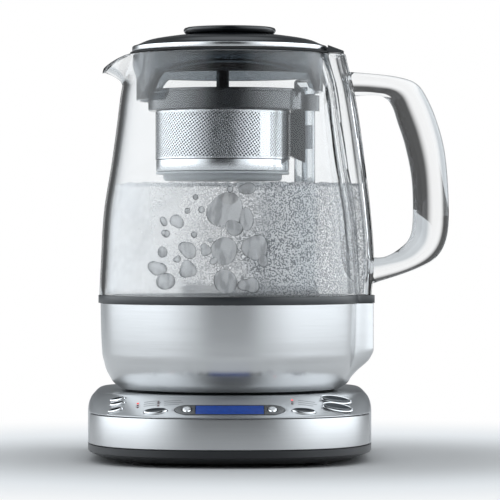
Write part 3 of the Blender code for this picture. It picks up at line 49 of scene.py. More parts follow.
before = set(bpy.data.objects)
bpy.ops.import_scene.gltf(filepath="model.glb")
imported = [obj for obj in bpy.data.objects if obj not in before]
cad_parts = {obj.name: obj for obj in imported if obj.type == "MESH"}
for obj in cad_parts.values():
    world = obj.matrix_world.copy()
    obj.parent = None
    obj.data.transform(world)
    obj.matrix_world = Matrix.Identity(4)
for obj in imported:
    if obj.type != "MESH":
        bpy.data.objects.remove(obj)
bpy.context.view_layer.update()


def span(node, axis=2):
    """Where a node of the frame starts and ends along an axis."""
    low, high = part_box(node)
    return low[axis], high[axis]


def middle(node, axis):
    return 0.5 * sum(span(node, axis))


# Places that the frame gives
AXIS = Vector((middle("heater_plate", 0), middle("heater_plate", 1), 0.0))
PLATE_LOW = span("heater_plate")[0]
GLASS_LOW, GLASS_HIGH = span("glass_jug")
GLASS_TALL = GLASS_HIGH - GLASS_LOW
SHELL_LOW, SHELL_HIGH = span("steel_lower_shell")
TRAY_LOW = span("base_tray")[0]
BAND_LOW, BAND_HIGH = span("steel_front_band")
BAND_END = span("steel_front_band", 1)[1]
SEAT = span("top_housing")[1]
POST_X = middle("lift_post", 0) - AXIS.x
BASKET_X = middle("basket_mesh", 0) - AXIS.x

# The jug's outline, as shares of its height, radius and column reach
COLUMN_HALF_WIDTH = 0.015
GLASS_RADIUS, GLASS_REACH = 0.0782, 0.0849
GLASS_TABLE = ((0.000, 1.000, 0.998), (0.130, 0.988, 1.015), (0.350, 0.963, 0.990), (0.540, 0.907, 0.952),
               (0.700, 0.866, 0.917), (0.865, 0.825, 0.869), (1.000, 0.763, 0.815))
SHELL_RADIUS, SHELL_REACH = 0.0774, 0.0859
SHELL_TABLE = ((0.000, 0.839, 0.756), (0.060, 0.893, 0.813), (0.140, 0.928, 0.845), (0.220, 0.955, 0.890),
               (0.325, 0.974, 0.960), (0.390, 0.985, 0.985), (0.450, 0.988, 1.000), (0.570, 0.993, 1.000),
               (1.000, 1.000, 1.000))
HANDLE_REACH, HANDLE_TALL, HANDLE_LOW = 0.1313, 0.1277, 0.0059
HANDLE_TABLE = ((0.668, 0.989, 0.661, 0.890), (0.773, 0.974, 0.709, 0.877), (0.850, 0.946, 0.742, 0.838),
                (0.897, 0.884, 0.768, 0.760), (0.945, 0.770, 0.801, 0.655), (0.983, 0.618, 0.831, 0.500),
                (1.000, 0.400, 0.837, 0.325), (0.994, 0.235, 0.822, 0.222), (0.948, 0.133, 0.770, 0.165),
                (0.850, 0.072, 0.705, 0.130))
HANDLE_HALF_WIDTH, HANDLE_CREST = 0.0096, 0.64
SPOUT_TALL, SPOUT_DIP, SPOUT_PULL = 0.0194, 0.0104, 0.0142
# The rings up the glass stand closer together above this share of its height
CLOSE_RINGS = 0.86

# The basket and its post
SIEVE_OUTER, SIEVE_INNER, RIM_INNER = 0.0403, 0.0395, 0.0406
# Cosine and sine of the slant of its rows of holes
SLANT = (0.809, 0.588)
POST_RADIUS = 0.0063

# The power base's outline; a higher power gives squarer corners
BASE_HALF_WIDTH, BASE_HALF_DEPTH, BASE_AHEAD = 0.0844, 0.104, 0.001
BASE_FRONT = -BASE_AHEAD - BASE_HALF_DEPTH
FRONT_POWER, REAR_POWER = 2.75, 7.0
PANEL_LOW, PANEL_RUN, SHOULDER = 0.0292, 0.033, 0.006
SCREWS = [(across, along - BASE_AHEAD) for across in (-0.058, 0.058) for along in (-0.047, 0.047)]
SCREW_HOLE = 0.0016


class TeaMakerSizes(PropertyGroup):
    """Sizes that a user may change."""

    glass_wall: FloatProperty(
        name="Glass wall", description="Thickness of the jug's glass", default=0.0030, min=0.001, max=0.005,
        unit="LENGTH")
    water_level: FloatProperty(
        name="Water level", description="Height of the water over the table", default=0.1632, min=0.10,
        max=0.20, unit="LENGTH")
    edge_round: FloatProperty(
        name="Edge rounding", description="Radius on the edges of plastic and steel pieces", default=0.0005,
        min=0.0001, max=0.002, unit="LENGTH")
    hole_pitch: FloatProperty(
        name="Hole pitch", description="Distance between the basket's holes", default=0.0016, min=0.001,
        max=0.004, unit="LENGTH")
    hole_radius: FloatProperty(
        name="Hole radius", description="Radius of the basket's holes", default=0.0005, min=0.0002,
        max=0.001, unit="LENGTH")
    round_steps: IntProperty(
        name="Round steps", description="Steps round a turned piece", default=128, min=32, max=256)


class TeaMakerColours(PropertyGroup):
    """Colours that a user may change."""

    steel: FloatVectorProperty(
        name="Steel", description="Brushed steel of the shell and the front band",
        default=(0.70, 0.705, 0.71), subtype="COLOR", min=0.0, max=1.0)
    case: FloatVectorProperty(
        name="Case", description="Silver of the top housing",
        default=(0.50, 0.51, 0.52), subtype="COLOR", min=0.0, max=1.0)
    dark: FloatVectorProperty(
        name="Dark plastic", description="Dark plastic of the joint ring and the lid",
        default=(0.016, 0.019, 0.022), subtype="COLOR", min=0.0, max=1.0)
    smoke: FloatVectorProperty(
        name="Smoked plastic", description="Smoked plastic of the skirt and the basket's rim",
        default=(0.012, 0.015, 0.018), subtype="COLOR", min=0.0, max=1.0)
    display: FloatVectorProperty(
        name="Display", description="Lit colour of the display",
        default=(0.003, 0.042, 0.26), subtype="COLOR", min=0.0, max=1.0)
    floor: FloatVectorProperty(
        name="Floor", description="Colour of the studio floor",
        default=(0.60, 0.60, 0.60), subtype="COLOR", min=0.0, max=1.0)


# Forms

def at(angle, radius, height):
    """A point round the axis."""
    return Vector((radius * math.cos(angle), radius * math.sin(angle), height))


def read(table, at, column):
    """Read a table at a share of its first column, on a smooth curve through its rows."""
    at = min(max(at, table[0][0]), table[-1][0])
    index = max(i for i in range(len(table) - 1) if at >= table[i][0])
    rows = [table[min(max(index + step, 0), len(table) - 1)] for step in (-1, 0, 1, 2)]

    def slope(before, after):
        return (after[column] - before[column]) / (after[0] - before[0]) if after[0] > before[0] else 0.0

    run = rows[2][0] - rows[1][0]
    chord = slope(rows[1], rows[2])
    ends = [0.5 * (slope(rows[0], rows[1]) + chord), 0.5 * (chord + slope(rows[2], rows[3]))]
    ends = [max(min(end, 3.0 * max(chord, 0.0)), 3.0 * min(chord, 0.0)) for end in ends]
    share = (at - rows[1][0]) / run
    square, cube = share ** 2, share ** 3
    return ((2 * cube - 3 * square + 1) * rows[1][column] + (cube - 2 * square + share) * run * ends[0]
            + (3 * square - 2 * cube) * rows[2][column] + (cube - square) * run * ends[1])


def falling(value, start, end):
    """1 before start, 0 after end, and a smooth fall between them."""
    share = min(max((value - start) / (end - start), 0.0), 1.0)
    return 1.0 - share * share * (3.0 - 2.0 * share)


def jug_angles(across=40, rest=120):
    """Angles round the jug, close together across the column."""
    edge = 1.25 * math.asin(COLUMN_HALF_WIDTH / 0.0597)
    angles = [edge * (2.0 * index / across - 1.0) for index in range(across)]
    return angles + [edge + (math.tau - 2.0 * edge) * index / rest for index in range(rest)]


def plan_radius(angle, radius, reach):
    """Distance from the axis to the jug's outline: a circle with a flat-faced column at +X."""
    around = math.remainder(angle, math.tau)
    edge = math.asin(COLUMN_HALF_WIDTH / radius)
    share = falling(abs(around), 0.62 * edge, 1.25 * edge)
    if share == 0.0 or reach <= radius:
        return radius
    return radius + (reach / math.cos(around) - radius) * share


def spout_share(angle):
    """How much of the spout an angle has: 1 at its middle, 0 beyond its sides."""
    off = abs(math.remainder(angle - math.pi, math.tau))
    return math.cos(3.0 * off) ** 2 if off < math.pi / 6 else 0.0


def glass_face(angle, climb):
    """Radius and height of the glass's outer face at an angle and a share of the way up the wall."""
    spout = spout_share(angle)
    start = GLASS_TALL - SPOUT_TALL
    height, pull = climb * GLASS_TALL, 0.0
    if height > start:
        part = (height - start) / SPOUT_TALL
        height = start + (SPOUT_TALL - SPOUT_DIP * spout ** 2) * part
        pull = SPOUT_PULL * spout * part ** 2
    share = height / GLASS_TALL
    radius = GLASS_RADIUS * read(GLASS_TABLE, share, 1)
    return plan_radius(angle, radius, GLASS_REACH * read(GLASS_TABLE, share, 2)) + pull, GLASS_LOW + height


def shell_face(angle, climb):
    """Radius and height of the steel shell's outer face at an angle and a share of the way up."""
    radius, reach = SHELL_RADIUS * read(SHELL_TABLE, climb, 1), SHELL_REACH * read(SHELL_TABLE, climb, 2)
    return plan_radius(angle, radius, reach), SHELL_LOW + (SHELL_HIGH - SHELL_LOW) * climb


def wall_rings(face, climbs, wall, round_lip):
    """Rings up the outside and down the inside of a wall, with a rounded lip where it is asked for."""
    outer, inner, lip = [], [], []
    for climb in climbs:
        outer.append([])
        inner.append([])
        for angle in jug_angles():
            radius, height = face(angle, climb)
            low, high = face(angle, max(climb - 0.01, 0.0)), face(angle, min(climb + 0.01, 1.0))
            run = Vector((high[0] - low[0], high[1] - low[1])).normalized()
            # A flat end of the wall stays level
            level_end = climb == 0.0 or climb == 1.0 and not round_lip
            outer[-1].append(at(angle, radius, height))
            inner[-1].append(at(angle, radius - wall * run.y, height if level_end else height + wall * run.x))
    if round_lip:
        for turn in (30, 60, 90, 120, 150):
            share = 0.5 - 0.5 * math.cos(math.radians(turn))
            rise = Vector((0.0, 0.0, 0.35 * wall * math.sin(math.radians(turn))))
            lip.append([a.lerp(b, share) + rise for a, b in zip(outer[-1], inner[-1])])
        over = max(point.z for ring in lip for point in ring) - GLASS_LOW - GLASS_TALL
        for ring in [outer[-1], *lip, inner[-1]]:
            for point in ring:
                point.z -= max(over, 0.0)
    return outer + lip + inner[::-1]


def base_outline(half_width, front, rear, height, steps=192):
    """A level ring round the base: a rounded front half and a squarer rear half."""
    ring = []
    for index in range(steps):
        in_front = index > steps / 2
        power = 2.0 / (FRONT_POWER if in_front else REAR_POWER)
        across, along = (
            math.copysign(abs(part) ** power, part) if index * 4 % steps else round(part)
            for part in (math.cos(math.tau * index / steps), math.sin(math.tau * index / steps)))
        ring.append(Vector((half_width * across, (front if in_front else rear) * along - BASE_AHEAD, height)))
    return ring


def base_ring(inset, height):
    return base_outline(BASE_HALF_WIDTH - inset, BASE_HALF_DEPTH - inset, BASE_HALF_DEPTH - inset, height)


def top_line(share, depth=0.0):
    """Half width, front depth, rear depth and height of a level line on the base's top."""
    inset = SHOULDER * (1.0 - math.sqrt(1.0 - share * share)) + depth
    return (BASE_HALF_WIDTH - inset, BASE_HALF_DEPTH - PANEL_RUN * share - 0.33 * depth,
            BASE_HALF_DEPTH - inset, PANEL_LOW + (SEAT - PANEL_LOW) * share - 0.95 * depth)


def top_height(across, along):
    """Height of the base's top at a place in plan."""
    low, high = 0.0, 1.0
    for _ in range(40):
        share = 0.5 * (low + high)
        half_width, front, rear, _ = top_line(share)
        power, depth = (FRONT_POWER, front) if along < -BASE_AHEAD else (REAR_POWER, rear)
        reach = abs(across / half_width) ** power + abs((along + BASE_AHEAD) / depth) ** power
        low, high = (share, high) if reach < 1.0 else (low, share)
    return top_line(low)[3]


def control_frame(across, back, turn_share=0.0):
    """The frame of a control at a place on the panel: across, up the slope, and out of it."""
    along, step = BASE_FRONT + back, 0.0003
    slope_x = (top_height(across + step, along) - top_height(across - step, along)) / (2.0 * step)
    slope_y = (top_height(across, along + step) - top_height(across, along - step)) / (2.0 * step)
    facing = Vector((-slope_x, -slope_y, 1.0)).normalized()
    turn = turn_share * math.atan2(facing.x, -facing.y)
    wide = Vector((math.cos(turn), math.sin(turn), 0.0))
    wide = (wide - facing * wide.dot(facing)).normalized()
    made = Matrix((wide, facing.cross(wide), facing)).transposed().to_4x4()
    made.translation = Vector((across, along, top_height(across, along)))
    return made


def on_panel(across, rise, lift):
    """A point over the panel: a way across, a way up its slope, and a lift."""
    half_width, depth, _, height = top_line(rise / math.hypot(PANEL_RUN, SEAT - PANEL_LOW))
    along = depth * (1.0 - abs(across / half_width) ** FRONT_POWER) ** (1.0 / FRONT_POWER)
    return Vector((across, -BASE_AHEAD - along, height + lift))


def circle(radius, height, centre=(0.0, 0.0), steps=128):
    """A level ring of points."""
    return [at(math.tau * index / steps, radius, height) + Vector((*centre, 0.0)) for index in range(steps)]


def oval(half_width, half_height, level, steps=64):
    """An oval ring of points."""
    angles = [math.tau * index / steps for index in range(steps)]
    return [Vector((half_width * math.cos(angle), half_height * math.sin(angle), level)) for angle in angles]


def box_ring(half_width, half_height, level, shift=0.0):
    """A rectangle of four points, shifted along Y."""
    return [Vector((across * half_width, along * half_height + shift, level))
            for across, along in ((-1, -1), (1, -1), (1, 1), (-1, 1))]


# Modelling

def let_go():
    """Leave edit mode and deselect everything."""
    if bpy.context.object and bpy.context.object.mode != "OBJECT":
        bpy.ops.object.mode_set(mode="OBJECT")
    bpy.ops.object.select_all(action="DESELECT")


def take(piece):
    """Select one piece alone, in object mode."""
    let_go()
    piece.select_set(True)
    bpy.context.view_layer.objects.active = piece


def pick(shape, indices):
    """Select only the points with these numbers, and the edges and faces between them."""
    bpy.ops.mesh.select_all(action="DESELECT")
    shape.verts.ensure_lookup_table()
    for index in indices:
        shape.verts[index].select = True
    shape.select_flush(True)


def grow(name, rings, ends="capped", place=None):
    """Model a piece from a circle that is extruded ring by ring. Its ends are capped, open or joined."""
    let_go()
    place = place or Matrix.Identity(4)
    count = len(rings[0])
    bpy.ops.mesh.primitive_circle_add(vertices=count, radius=0.01, enter_editmode=True)
    piece = bpy.context.object
    piece.name = piece.data.name = name
    shape = bmesh.from_edit_mesh(piece.data)
    shape.verts.ensure_lookup_table()
    for index, point in enumerate(rings[0]):
        shape.verts[index].co = place @ point + AXIS
    front = list(range(count))
    for ring in rings[1:] + ([rings[0]] if ends == "joined" else []):
        bpy.ops.mesh.extrude_region_move()
        shape = bmesh.from_edit_mesh(piece.data)
        shape.verts.index_update()
        shape.verts.ensure_lookup_table()
        moved = []
        for index, point in zip(front, ring):
            start = shape.verts[index]
            upper = next(edge.other_vert(start) for edge in start.link_edges if edge.other_vert(start).select)
            upper.co = place @ point + AXIS
            moved.append(upper.index)
        front = moved
    if ends == "capped":
        for loop in (list(range(count)), front):
            shape = bmesh.from_edit_mesh(piece.data)
            pick(shape, loop)
            bpy.ops.mesh.edge_face_add()
    bpy.ops.mesh.select_all(action="SELECT")
    bpy.ops.mesh.remove_doubles(threshold=1e-6)
    bpy.ops.mesh.normals_make_consistent(inside=False)
    bpy.ops.object.mode_set(mode="OBJECT")
    return piece


def turned(name, profile, ends="joined", centre=(0.0, 0.0), steps=None):
    """A turned piece from a profile of (radius, height) points."""
    steps = steps or bpy.context.scene.tea_maker_sizes.round_steps
    return grow(name, [circle(radius, height, centre, steps) for radius, height in profile], ends)


def column(name, radius, low, high, centre, steps):
    """A round column, most often a cutter."""
    return grow(name, [circle(radius, low, centre, steps), circle(radius, high, centre, steps)])


def set_out(piece, places):
    """Put a piece at the first of some named places, and copies with a mesh of their own at the others."""
    made = [piece]
    for _ in places[1:]:
        twin = piece.copy()
        twin.data = piece.data.copy()
        bpy.context.collection.objects.link(twin)
        made.append(twin)
    for one, (name, place) in zip(made, places):
        one.name = one.data.name = name
        one.data.transform(Matrix.Translation(AXIS) @ place @ Matrix.Translation(-AXIS))
    return made


def apply_step(piece, kind, **settings):
    """Add a modifier, set it and apply it."""
    take(piece)
    step = piece.modifiers.new(kind.lower(), kind)
    for name, value in settings.items():
        setattr(step, name, value)
    bpy.ops.object.modifier_apply(modifier=step.name)


def combine(piece, tool, operation="DIFFERENCE"):
    """Cut a tool out of a piece or join it on, and remove the tool."""
    apply_step(piece, "BOOLEAN", operation=operation, solver="EXACT", object=tool)
    bpy.data.objects.remove(tool, do_unlink=True)


def soften(piece, width=None, segments=3, angle=30.0):
    """Round the edges of a piece."""
    width = width or bpy.context.scene.tea_maker_sizes.edge_round
    apply_step(piece, "BEVEL", width=width, segments=segments, limit_method="ANGLE",
               angle_limit=math.radians(angle), use_clamp_overlap=True)


def faces_where(piece, test):
    """The numbers of the faces whose middle, measured from the jug's axis, meets a test."""
    return [face.index for face in piece.data.polygons if test(face.center - AXIS)]


def dress(piece, body, finish, stands_for=(), angle=35.0, second=()):
    """Shade a piece, give it its finishes and its body, and hide the nodes that it stands for.

    Two finishes are written as two words, and the second one goes on the faces that are numbered.
    """
    take(piece)
    bpy.ops.object.shade_smooth_by_angle(angle=math.radians(angle))
    piece.data.materials.clear()
    for name in finish.split():
        piece.data.materials.append(finishes()[name])
    for index in second:
        piece.data.polygons[index].material_index = 1
    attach(piece, body)
    if stands_for:
        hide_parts(*stands_for)


def turned_ring(name, node, body, finish, inner, outer, rounding, centre=(0.0, 0.0)):
    """A plain turned ring, as high as the node that it stands for."""
    low, high = span(node)
    ring = turned(name, [(inner, low), (outer, low), (outer, high), (inner, high)], centre=centre)
    soften(ring, rounding)
    dress(ring, body, finish, (node,))


def redress(finish, *nodes):
    """Give nodes of the frame a better finish."""
    for node in nodes:
        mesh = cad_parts[node]
        mesh.data.materials.clear()
        mesh.data.materials.append(finishes()[finish])


# Finishes

FINISHES = {}


def shade(colour, share):
    """A darker or a brighter colour."""
    return [min(share * part, 1.0) for part in colour]


class Value:
    """A socket that varies over a surface. Sums and products on it add Math nodes."""

    def __init__(self, recipe, socket):
        self.recipe, self.socket = recipe, socket

    def math(self, operation, *others):
        return self.recipe.node("ShaderNodeMath", {"operation": operation}, dict(enumerate((self, *others))))

    def flipped(self, operation, other):
        return self.recipe.node("ShaderNodeMath", {"operation": operation}, {0: other, 1: self})

    def __add__(self, other):
        return self.math("ADD", other)

    def __sub__(self, other):
        return self.math("SUBTRACT", other)

    def __mul__(self, other):
        return self.math("MULTIPLY", other)

    def __truediv__(self, other):
        return self.math("DIVIDE", other)

    def __pow__(self, other):
        return self.math("POWER", other)

    def __radd__(self, other):
        return self.flipped("ADD", other)

    def __rsub__(self, other):
        return self.flipped("SUBTRACT", other)

    def above(self, low, high):
        """0 below low, 1 above high, and a smooth step between them."""
        return self.recipe.node("ShaderNodeMapRange", {"interpolation_type": "SMOOTHSTEP"},
                                {"Value": self, "From Min": low, "From Max": high})

    def within(self, low, high, step):
        """1 between two places and 0 outside them, with a short step at each."""
        return self.above(low, low + step) * (1.0 - self.above(high, high + step))

    def blend(self, start, end):
        """A colour between two colours, by this share."""
        return self.recipe.node("ShaderNodeMix", {"data_type": "RGBA"}, {0: self, 6: start, 7: end}, output=2)


class Recipe:
    """The nodes of one material, or of the world."""

    def __init__(self, holder, shader="Principled BSDF"):
        holder.use_nodes = True
        self.holder, self.tree = holder, holder.node_tree
        self.shader = self.tree.nodes.get(shader)

    def node(self, kind, settings=None, inputs=None, output=0):
        """Add a node with its settings and the values or links of its sockets."""
        made = self.tree.nodes.new(kind)
        for name, value in (settings or {}).items():
            setattr(made, name, value)
        for name, value in (inputs or {}).items():
            self.put(made.inputs[name], value)
        return Value(self, made.outputs[output])

    def put(self, socket, value):
        if isinstance(value, Value):
            self.tree.links.new(value.socket, socket)
        elif socket.type == "RGBA" and len(value) == 3:
            socket.default_value = (*value, 1.0)
        else:
            socket.default_value = value

    def set(self, **inputs):
        """Set sockets of the main shader; underlines stand for spaces."""
        for name, value in inputs.items():
            self.put(self.shader.inputs[name.replace("_", " ")], value)

    def place(self, offset=(0.0, 0.0, 0.0), scale=(1.0, 1.0, 1.0)):
        """Object coordinates, moved and scaled."""
        spot = self.node("ShaderNodeTexCoord", output=3)
        return self.node("ShaderNodeMapping", {"vector_type": "POINT"},
                         {"Vector": spot, "Location": offset, "Scale": scale})

    def parts(self, vector):
        """The three parts of a vector."""
        split = self.node("ShaderNodeSeparateXYZ", None, {0: vector})
        return [Value(self, split.socket.node.outputs[index]) for index in range(3)]

    def rays(self):
        """What kind of light path it is, by name."""
        outputs = self.node("ShaderNodeLightPath").socket.node.outputs
        return {output.name: Value(self, output) for output in outputs}

    def noise(self, vector, scale=1.0, detail=2.0, roughness=0.5):
        return self.node("ShaderNodeTexNoise", None,
                         {"Vector": vector, "Scale": scale, "Detail": detail, "Roughness": roughness})

    def bump(self, height, strength, distance):
        """A bump from a height between 0 and 1."""
        made = self.node("ShaderNodeBump", None,
                         {"Strength": strength, "Distance": distance, "Height": height})
        self.put(self.shader.inputs["Normal"], made)

    def mix(self, share, other):
        """Mix another shader in, by a share."""
        both = self.node("ShaderNodeMixShader", None,
                         {0: share, 1: Value(self, self.shader.outputs[0]), 2: other})
        self.put(self.tree.nodes["Material Output"].inputs["Surface"], both)


def material(name):
    """The recipe of a new material."""
    recipe = Recipe(bpy.data.materials.new(name))
    FINISHES[name] = recipe.holder
    return recipe


def plastic(name, colour, rough=0.3, grain=0.0, coat=0.0, scale=900.0, ior=1.5, metal=0.0):
    """Moulded plastic: even colour with a faint cloud, and a fine grain where it is matte."""
    recipe = material(name)
    spot = recipe.place()
    cloud = recipe.noise(spot, 60.0, 3.0)
    fine = recipe.noise(spot, scale, 2.0) if grain else cloud
    recipe.set(Base_Color=cloud.blend(shade(colour, 0.93), shade(colour, 1.07)),
               Roughness=rough + (fine - 0.5) * (0.05 + 0.2 * grain), Coat_Weight=coat, Coat_Roughness=0.04,
               IOR=ior, Metallic=metal)
    if grain:
        recipe.bump(fine, 0.35 * grain, 0.0002)


def brushed(name, colour, rough=0.23, strength=0.10):
    """Steel brushed round the axis."""
    recipe = material(name)
    streak = recipe.noise(recipe.place(scale=(22.0, 22.0, 5200.0)), 1.0, 3.0, 0.6)
    wide = recipe.noise(recipe.place(scale=(9.0, 9.0, 700.0)), 1.0, 2.0, 0.5)
    tone = streak * 0.7 + wide * 0.3
    recipe.set(Base_Color=tone.blend(shade(colour, 0.88), shade(colour, 1.08)), Metallic=1.0,
               Roughness=rough + (tone - 0.5) * 0.16, Anisotropic=0.8, Anisotropic_Rotation=0.25)
    recipe.bump(streak, strength, 0.00003)


def chrome(name, colour):
    """Polished plate with faint wipe marks."""
    recipe = material(name)
    marks = recipe.noise(recipe.place(scale=(120.0, 300.0, 300.0)), 1.0, 3.0)
    recipe.set(Base_Color=marks.blend(shade(colour, 0.97), colour), Metallic=1.0,
               Roughness=0.07 + marks * 0.05)


def clear(name, tint, rough=0.0, ior=1.47):
    """Clear glass: light goes straight through it to what stands behind, also for shadows."""
    recipe = material(name)
    wave = recipe.noise(recipe.place(), 14.0, 1.0)
    recipe.set(Base_Color=wave.blend(shade(tint, 0.99), tint), Roughness=rough, IOR=ior,
               Transmission_Weight=1.0)
    passing = recipe.node("ShaderNodeBsdfTransparent", None, {"Color": shade(tint, 0.94)})
    recipe.mix(recipe.rays()["Is Shadow Ray"], passing)


def perforated(name, node, colour, pitch, hole, centre=0.0, seam=None):
    """Steel sheet with slanting rows of round holes round an upright axis, and a plain seam if it has one."""
    recipe = material(name)
    across, along, up = recipe.parts(recipe.place(offset=(-AXIS.x - centre, -AXIS.y, 0.0)))
    around = along.math("ARCTAN2", across) * SIEVE_OUTER
    cosine, sine = SLANT
    rows = (around * cosine + up * sine) / pitch, (up * cosine - around * sine) / pitch
    cells = [(row.math("FRACT") - 0.5) * pitch for row in rows]
    distance = (cells[0] * cells[0] + cells[1] * cells[1]) ** 0.5
    solid = distance.above(hole, hole + 0.00012)
    low, high = span(node)
    over, under, step = high - 0.0014, low + 0.0010, 0.0002
    edge = up.above(over, over + step) + (1.0 - up.above(under, under + step))
    if seam:
        edge = edge + around.within(*seam, 0.0001)
    streak = recipe.noise(recipe.place(scale=(40.0, 40.0, 3000.0)), 1.0, 2.0)
    recipe.set(Base_Color=streak.blend(shade(colour, 0.92), colour), Metallic=1.0,
               Roughness=0.15 + streak * 0.08, Alpha=(solid + edge).math("MINIMUM", 1.0))
    recipe.bump(solid, 0.4, 0.0002)


def boiling(name):
    """Boiling water: milky at one side, and full of fine bubbles elsewhere, with a faint painted glow."""
    recipe = material(name)
    spot = recipe.place(offset=(-AXIS.x, -AXIS.y, 0.0))
    across, _, up = recipe.parts(spot)
    drift = across + (recipe.noise(spot, 34.0, 3.0) - 0.5) * 0.05
    right, thick = drift.above(-0.050, 0.000), drift.above(-0.010, 0.030)
    fine = recipe.noise(spot, 1150.0, 0.0, 0.7).above(0.49, 0.53)
    cells = recipe.node("ShaderNodeTexVoronoi", {"feature": "F1"}, {"Vector": spot, "Scale": 330.0})
    pearls = cells.above(0.20, 0.28) * (1.0 - cells.above(0.30, 0.38))
    milk = recipe.noise(spot, 24.0, 5.0, 0.6).above(0.32, 0.72)
    specks = (fine * (0.05 + right * (0.60 + thick * 0.35))).math("MAXIMUM", pearls * 0.5 * right)
    # A dark layer of bubbles low in the water
    layer = (1.0 - up.above(0.1034, 0.1044)) * across.above(-0.030, -0.026)
    layer = layer * (1.0 - across.above(0.050, 0.0515))
    specks = specks.math("MAXIMUM", layer * 0.62)
    cover = 0.18 + milk * (1.0 - right) * 0.50 + thick * 0.34 * (1.0 - across.above(0.0505, 0.0525))
    tone = specks.blend((0.86, 0.87, 0.88), (0.10, 0.11, 0.12))
    # Painted glow: the water gives off its own colour as light, standing in for light that the glass holds
    # back
    recipe.set(Base_Color=tone, Roughness=0.35 + milk * 0.2, Emission_Color=tone, Emission_Strength=0.15,
               Alpha=(cover + specks * 0.5).math("MINIMUM", 0.92))
    recipe.holder.cycles.emission_sampling = "NONE"
    recipe.bump(milk, 0.3, 0.002)


def bubbly(name):
    """The skin of a large bubble: a painted shade at its rim, painted highlight streaks where it faces out,
    and a painted glow.
    """
    recipe = material(name)
    rim = recipe.node("ShaderNodeLayerWeight", None, {"Blend": 0.5}, output=1)
    streak = recipe.noise(recipe.place(scale=(260.0, 260.0, 90.0)), 1.0, 2.0, 0.5)
    # Painted shade darkens the rim as the skin turns away from the view, and painted highlight streaks
    # lighten it
    tone = (rim.above(0.06, 0.50) * 0.75 + streak.above(0.42, 0.62) * 0.5).math("MINIMUM", 1.0)
    # Painted glow: the skin gives off light of its own, as if it were lit behind the glass
    recipe.set(Base_Color=tone.blend((0.66, 0.67, 0.68), (0.05, 0.055, 0.06)), Roughness=0.15 + streak * 0.1,
               Emission_Color=tone.blend((0.62, 0.63, 0.64), (0.02, 0.022, 0.025)), Emission_Strength=0.30,
               Alpha=0.50 + tone * 0.45)
    recipe.holder.cycles.emission_sampling = "NONE"
    recipe.bump(streak, 0.5, 0.0012)


def lit(name, colour, strength):
    """A lit plastic."""
    recipe = material(name)
    spot = recipe.noise(recipe.place(), 400.0, 1.0)
    recipe.set(Base_Color=spot.blend(shade(colour, 0.5), colour), Roughness=0.2, IOR=1.2,
               Emission_Color=spot.blend(shade(colour, 0.9), colour), Emission_Strength=strength)


def finishes():
    """All the finishes, made once."""
    if "clear_glass" in FINISHES:
        return FINISHES
    colours = bpy.context.scene.tea_maker_colours
    sizes = bpy.context.scene.tea_maker_sizes
    steel, dark, smoke = list(colours.steel), list(colours.dark), list(colours.smoke)
    brushed("brushed_steel", steel)
    brushed("brushed_band", shade(steel, 0.94), rough=0.36, strength=0.22)
    brushed("fine_steel", shade(steel, 1.2), rough=0.20, strength=0.05)
    brushed("copper", (0.60, 0.30, 0.15), rough=0.35)
    brushed("magnet", (0.25, 0.25, 0.26), rough=0.38)
    chrome("chrome", (0.78, 0.79, 0.80))
    plastic("silver_case", list(colours.case), rough=0.30, scale=1500.0, metal=0.85)
    plastic("gloss_black", (0.008, 0.009, 0.011), rough=0.14, coat=0.1)
    plastic("tray_black", (0.014, 0.015, 0.017), rough=0.34, grain=0.3)
    plastic("ring_dark", dark, rough=0.34, ior=1.6)
    plastic("lid_dark", shade(dark, 0.5), rough=0.10)
    plastic("smoke", smoke, rough=0.14, ior=1.8)
    plastic("rim_smoke", shade(smoke, 0.6), rough=0.12, ior=1.8)
    plastic("sieve_dark", (0.07, 0.08, 0.09), rough=0.4)
    # Painted shade: a dark finish for the inside face of the steel sieve, standing in for the shade inside
    # the basket
    plastic("cup_grey", (0.60, 0.62, 0.63), rough=0.32)
    plastic("button_dark", (0.035, 0.042, 0.050), rough=0.22, ior=1.3)
    plastic("dish_dark", (0.016, 0.019, 0.023), rough=0.24, ior=1.25)
    plastic("legend_grey", (0.17, 0.18, 0.19), rough=0.5)
    plastic("rubber", (0.018, 0.018, 0.018), rough=0.75, grain=0.8)
    plastic("board_green", (0.02, 0.12, 0.05), rough=0.45, grain=0.3)
    plastic("socket_dark", (0.028, 0.031, 0.035), rough=0.4, grain=0.4)
    plastic("lamp_off", (0.10, 0.03, 0.03), rough=0.25)
    clear("clear_glass", (0.950, 0.958, 0.963))
    clear("post_clear", (0.90, 0.92, 0.93), ior=1.40)
    clear("skirt_clear", (0.17, 0.195, 0.215), ior=1.30, rough=0.02)
    perforated("holed_steel", "basket_mesh", steel, sizes.hole_pitch, sizes.hole_radius, BASKET_X,
               (-0.0400, -0.0325))
    perforated("holed_filter", "spout_filter", (0.20, 0.22, 0.24), 0.0011, 0.00030)
    boiling("boiling_water")
    bubbly("bubble_skin")
    lit("display_lit", list(colours.display), 0.22)
    lit("lamp_red", (0.85, 0.03, 0.02), 1.2)
    return FINISHES


# Pieces of the jug

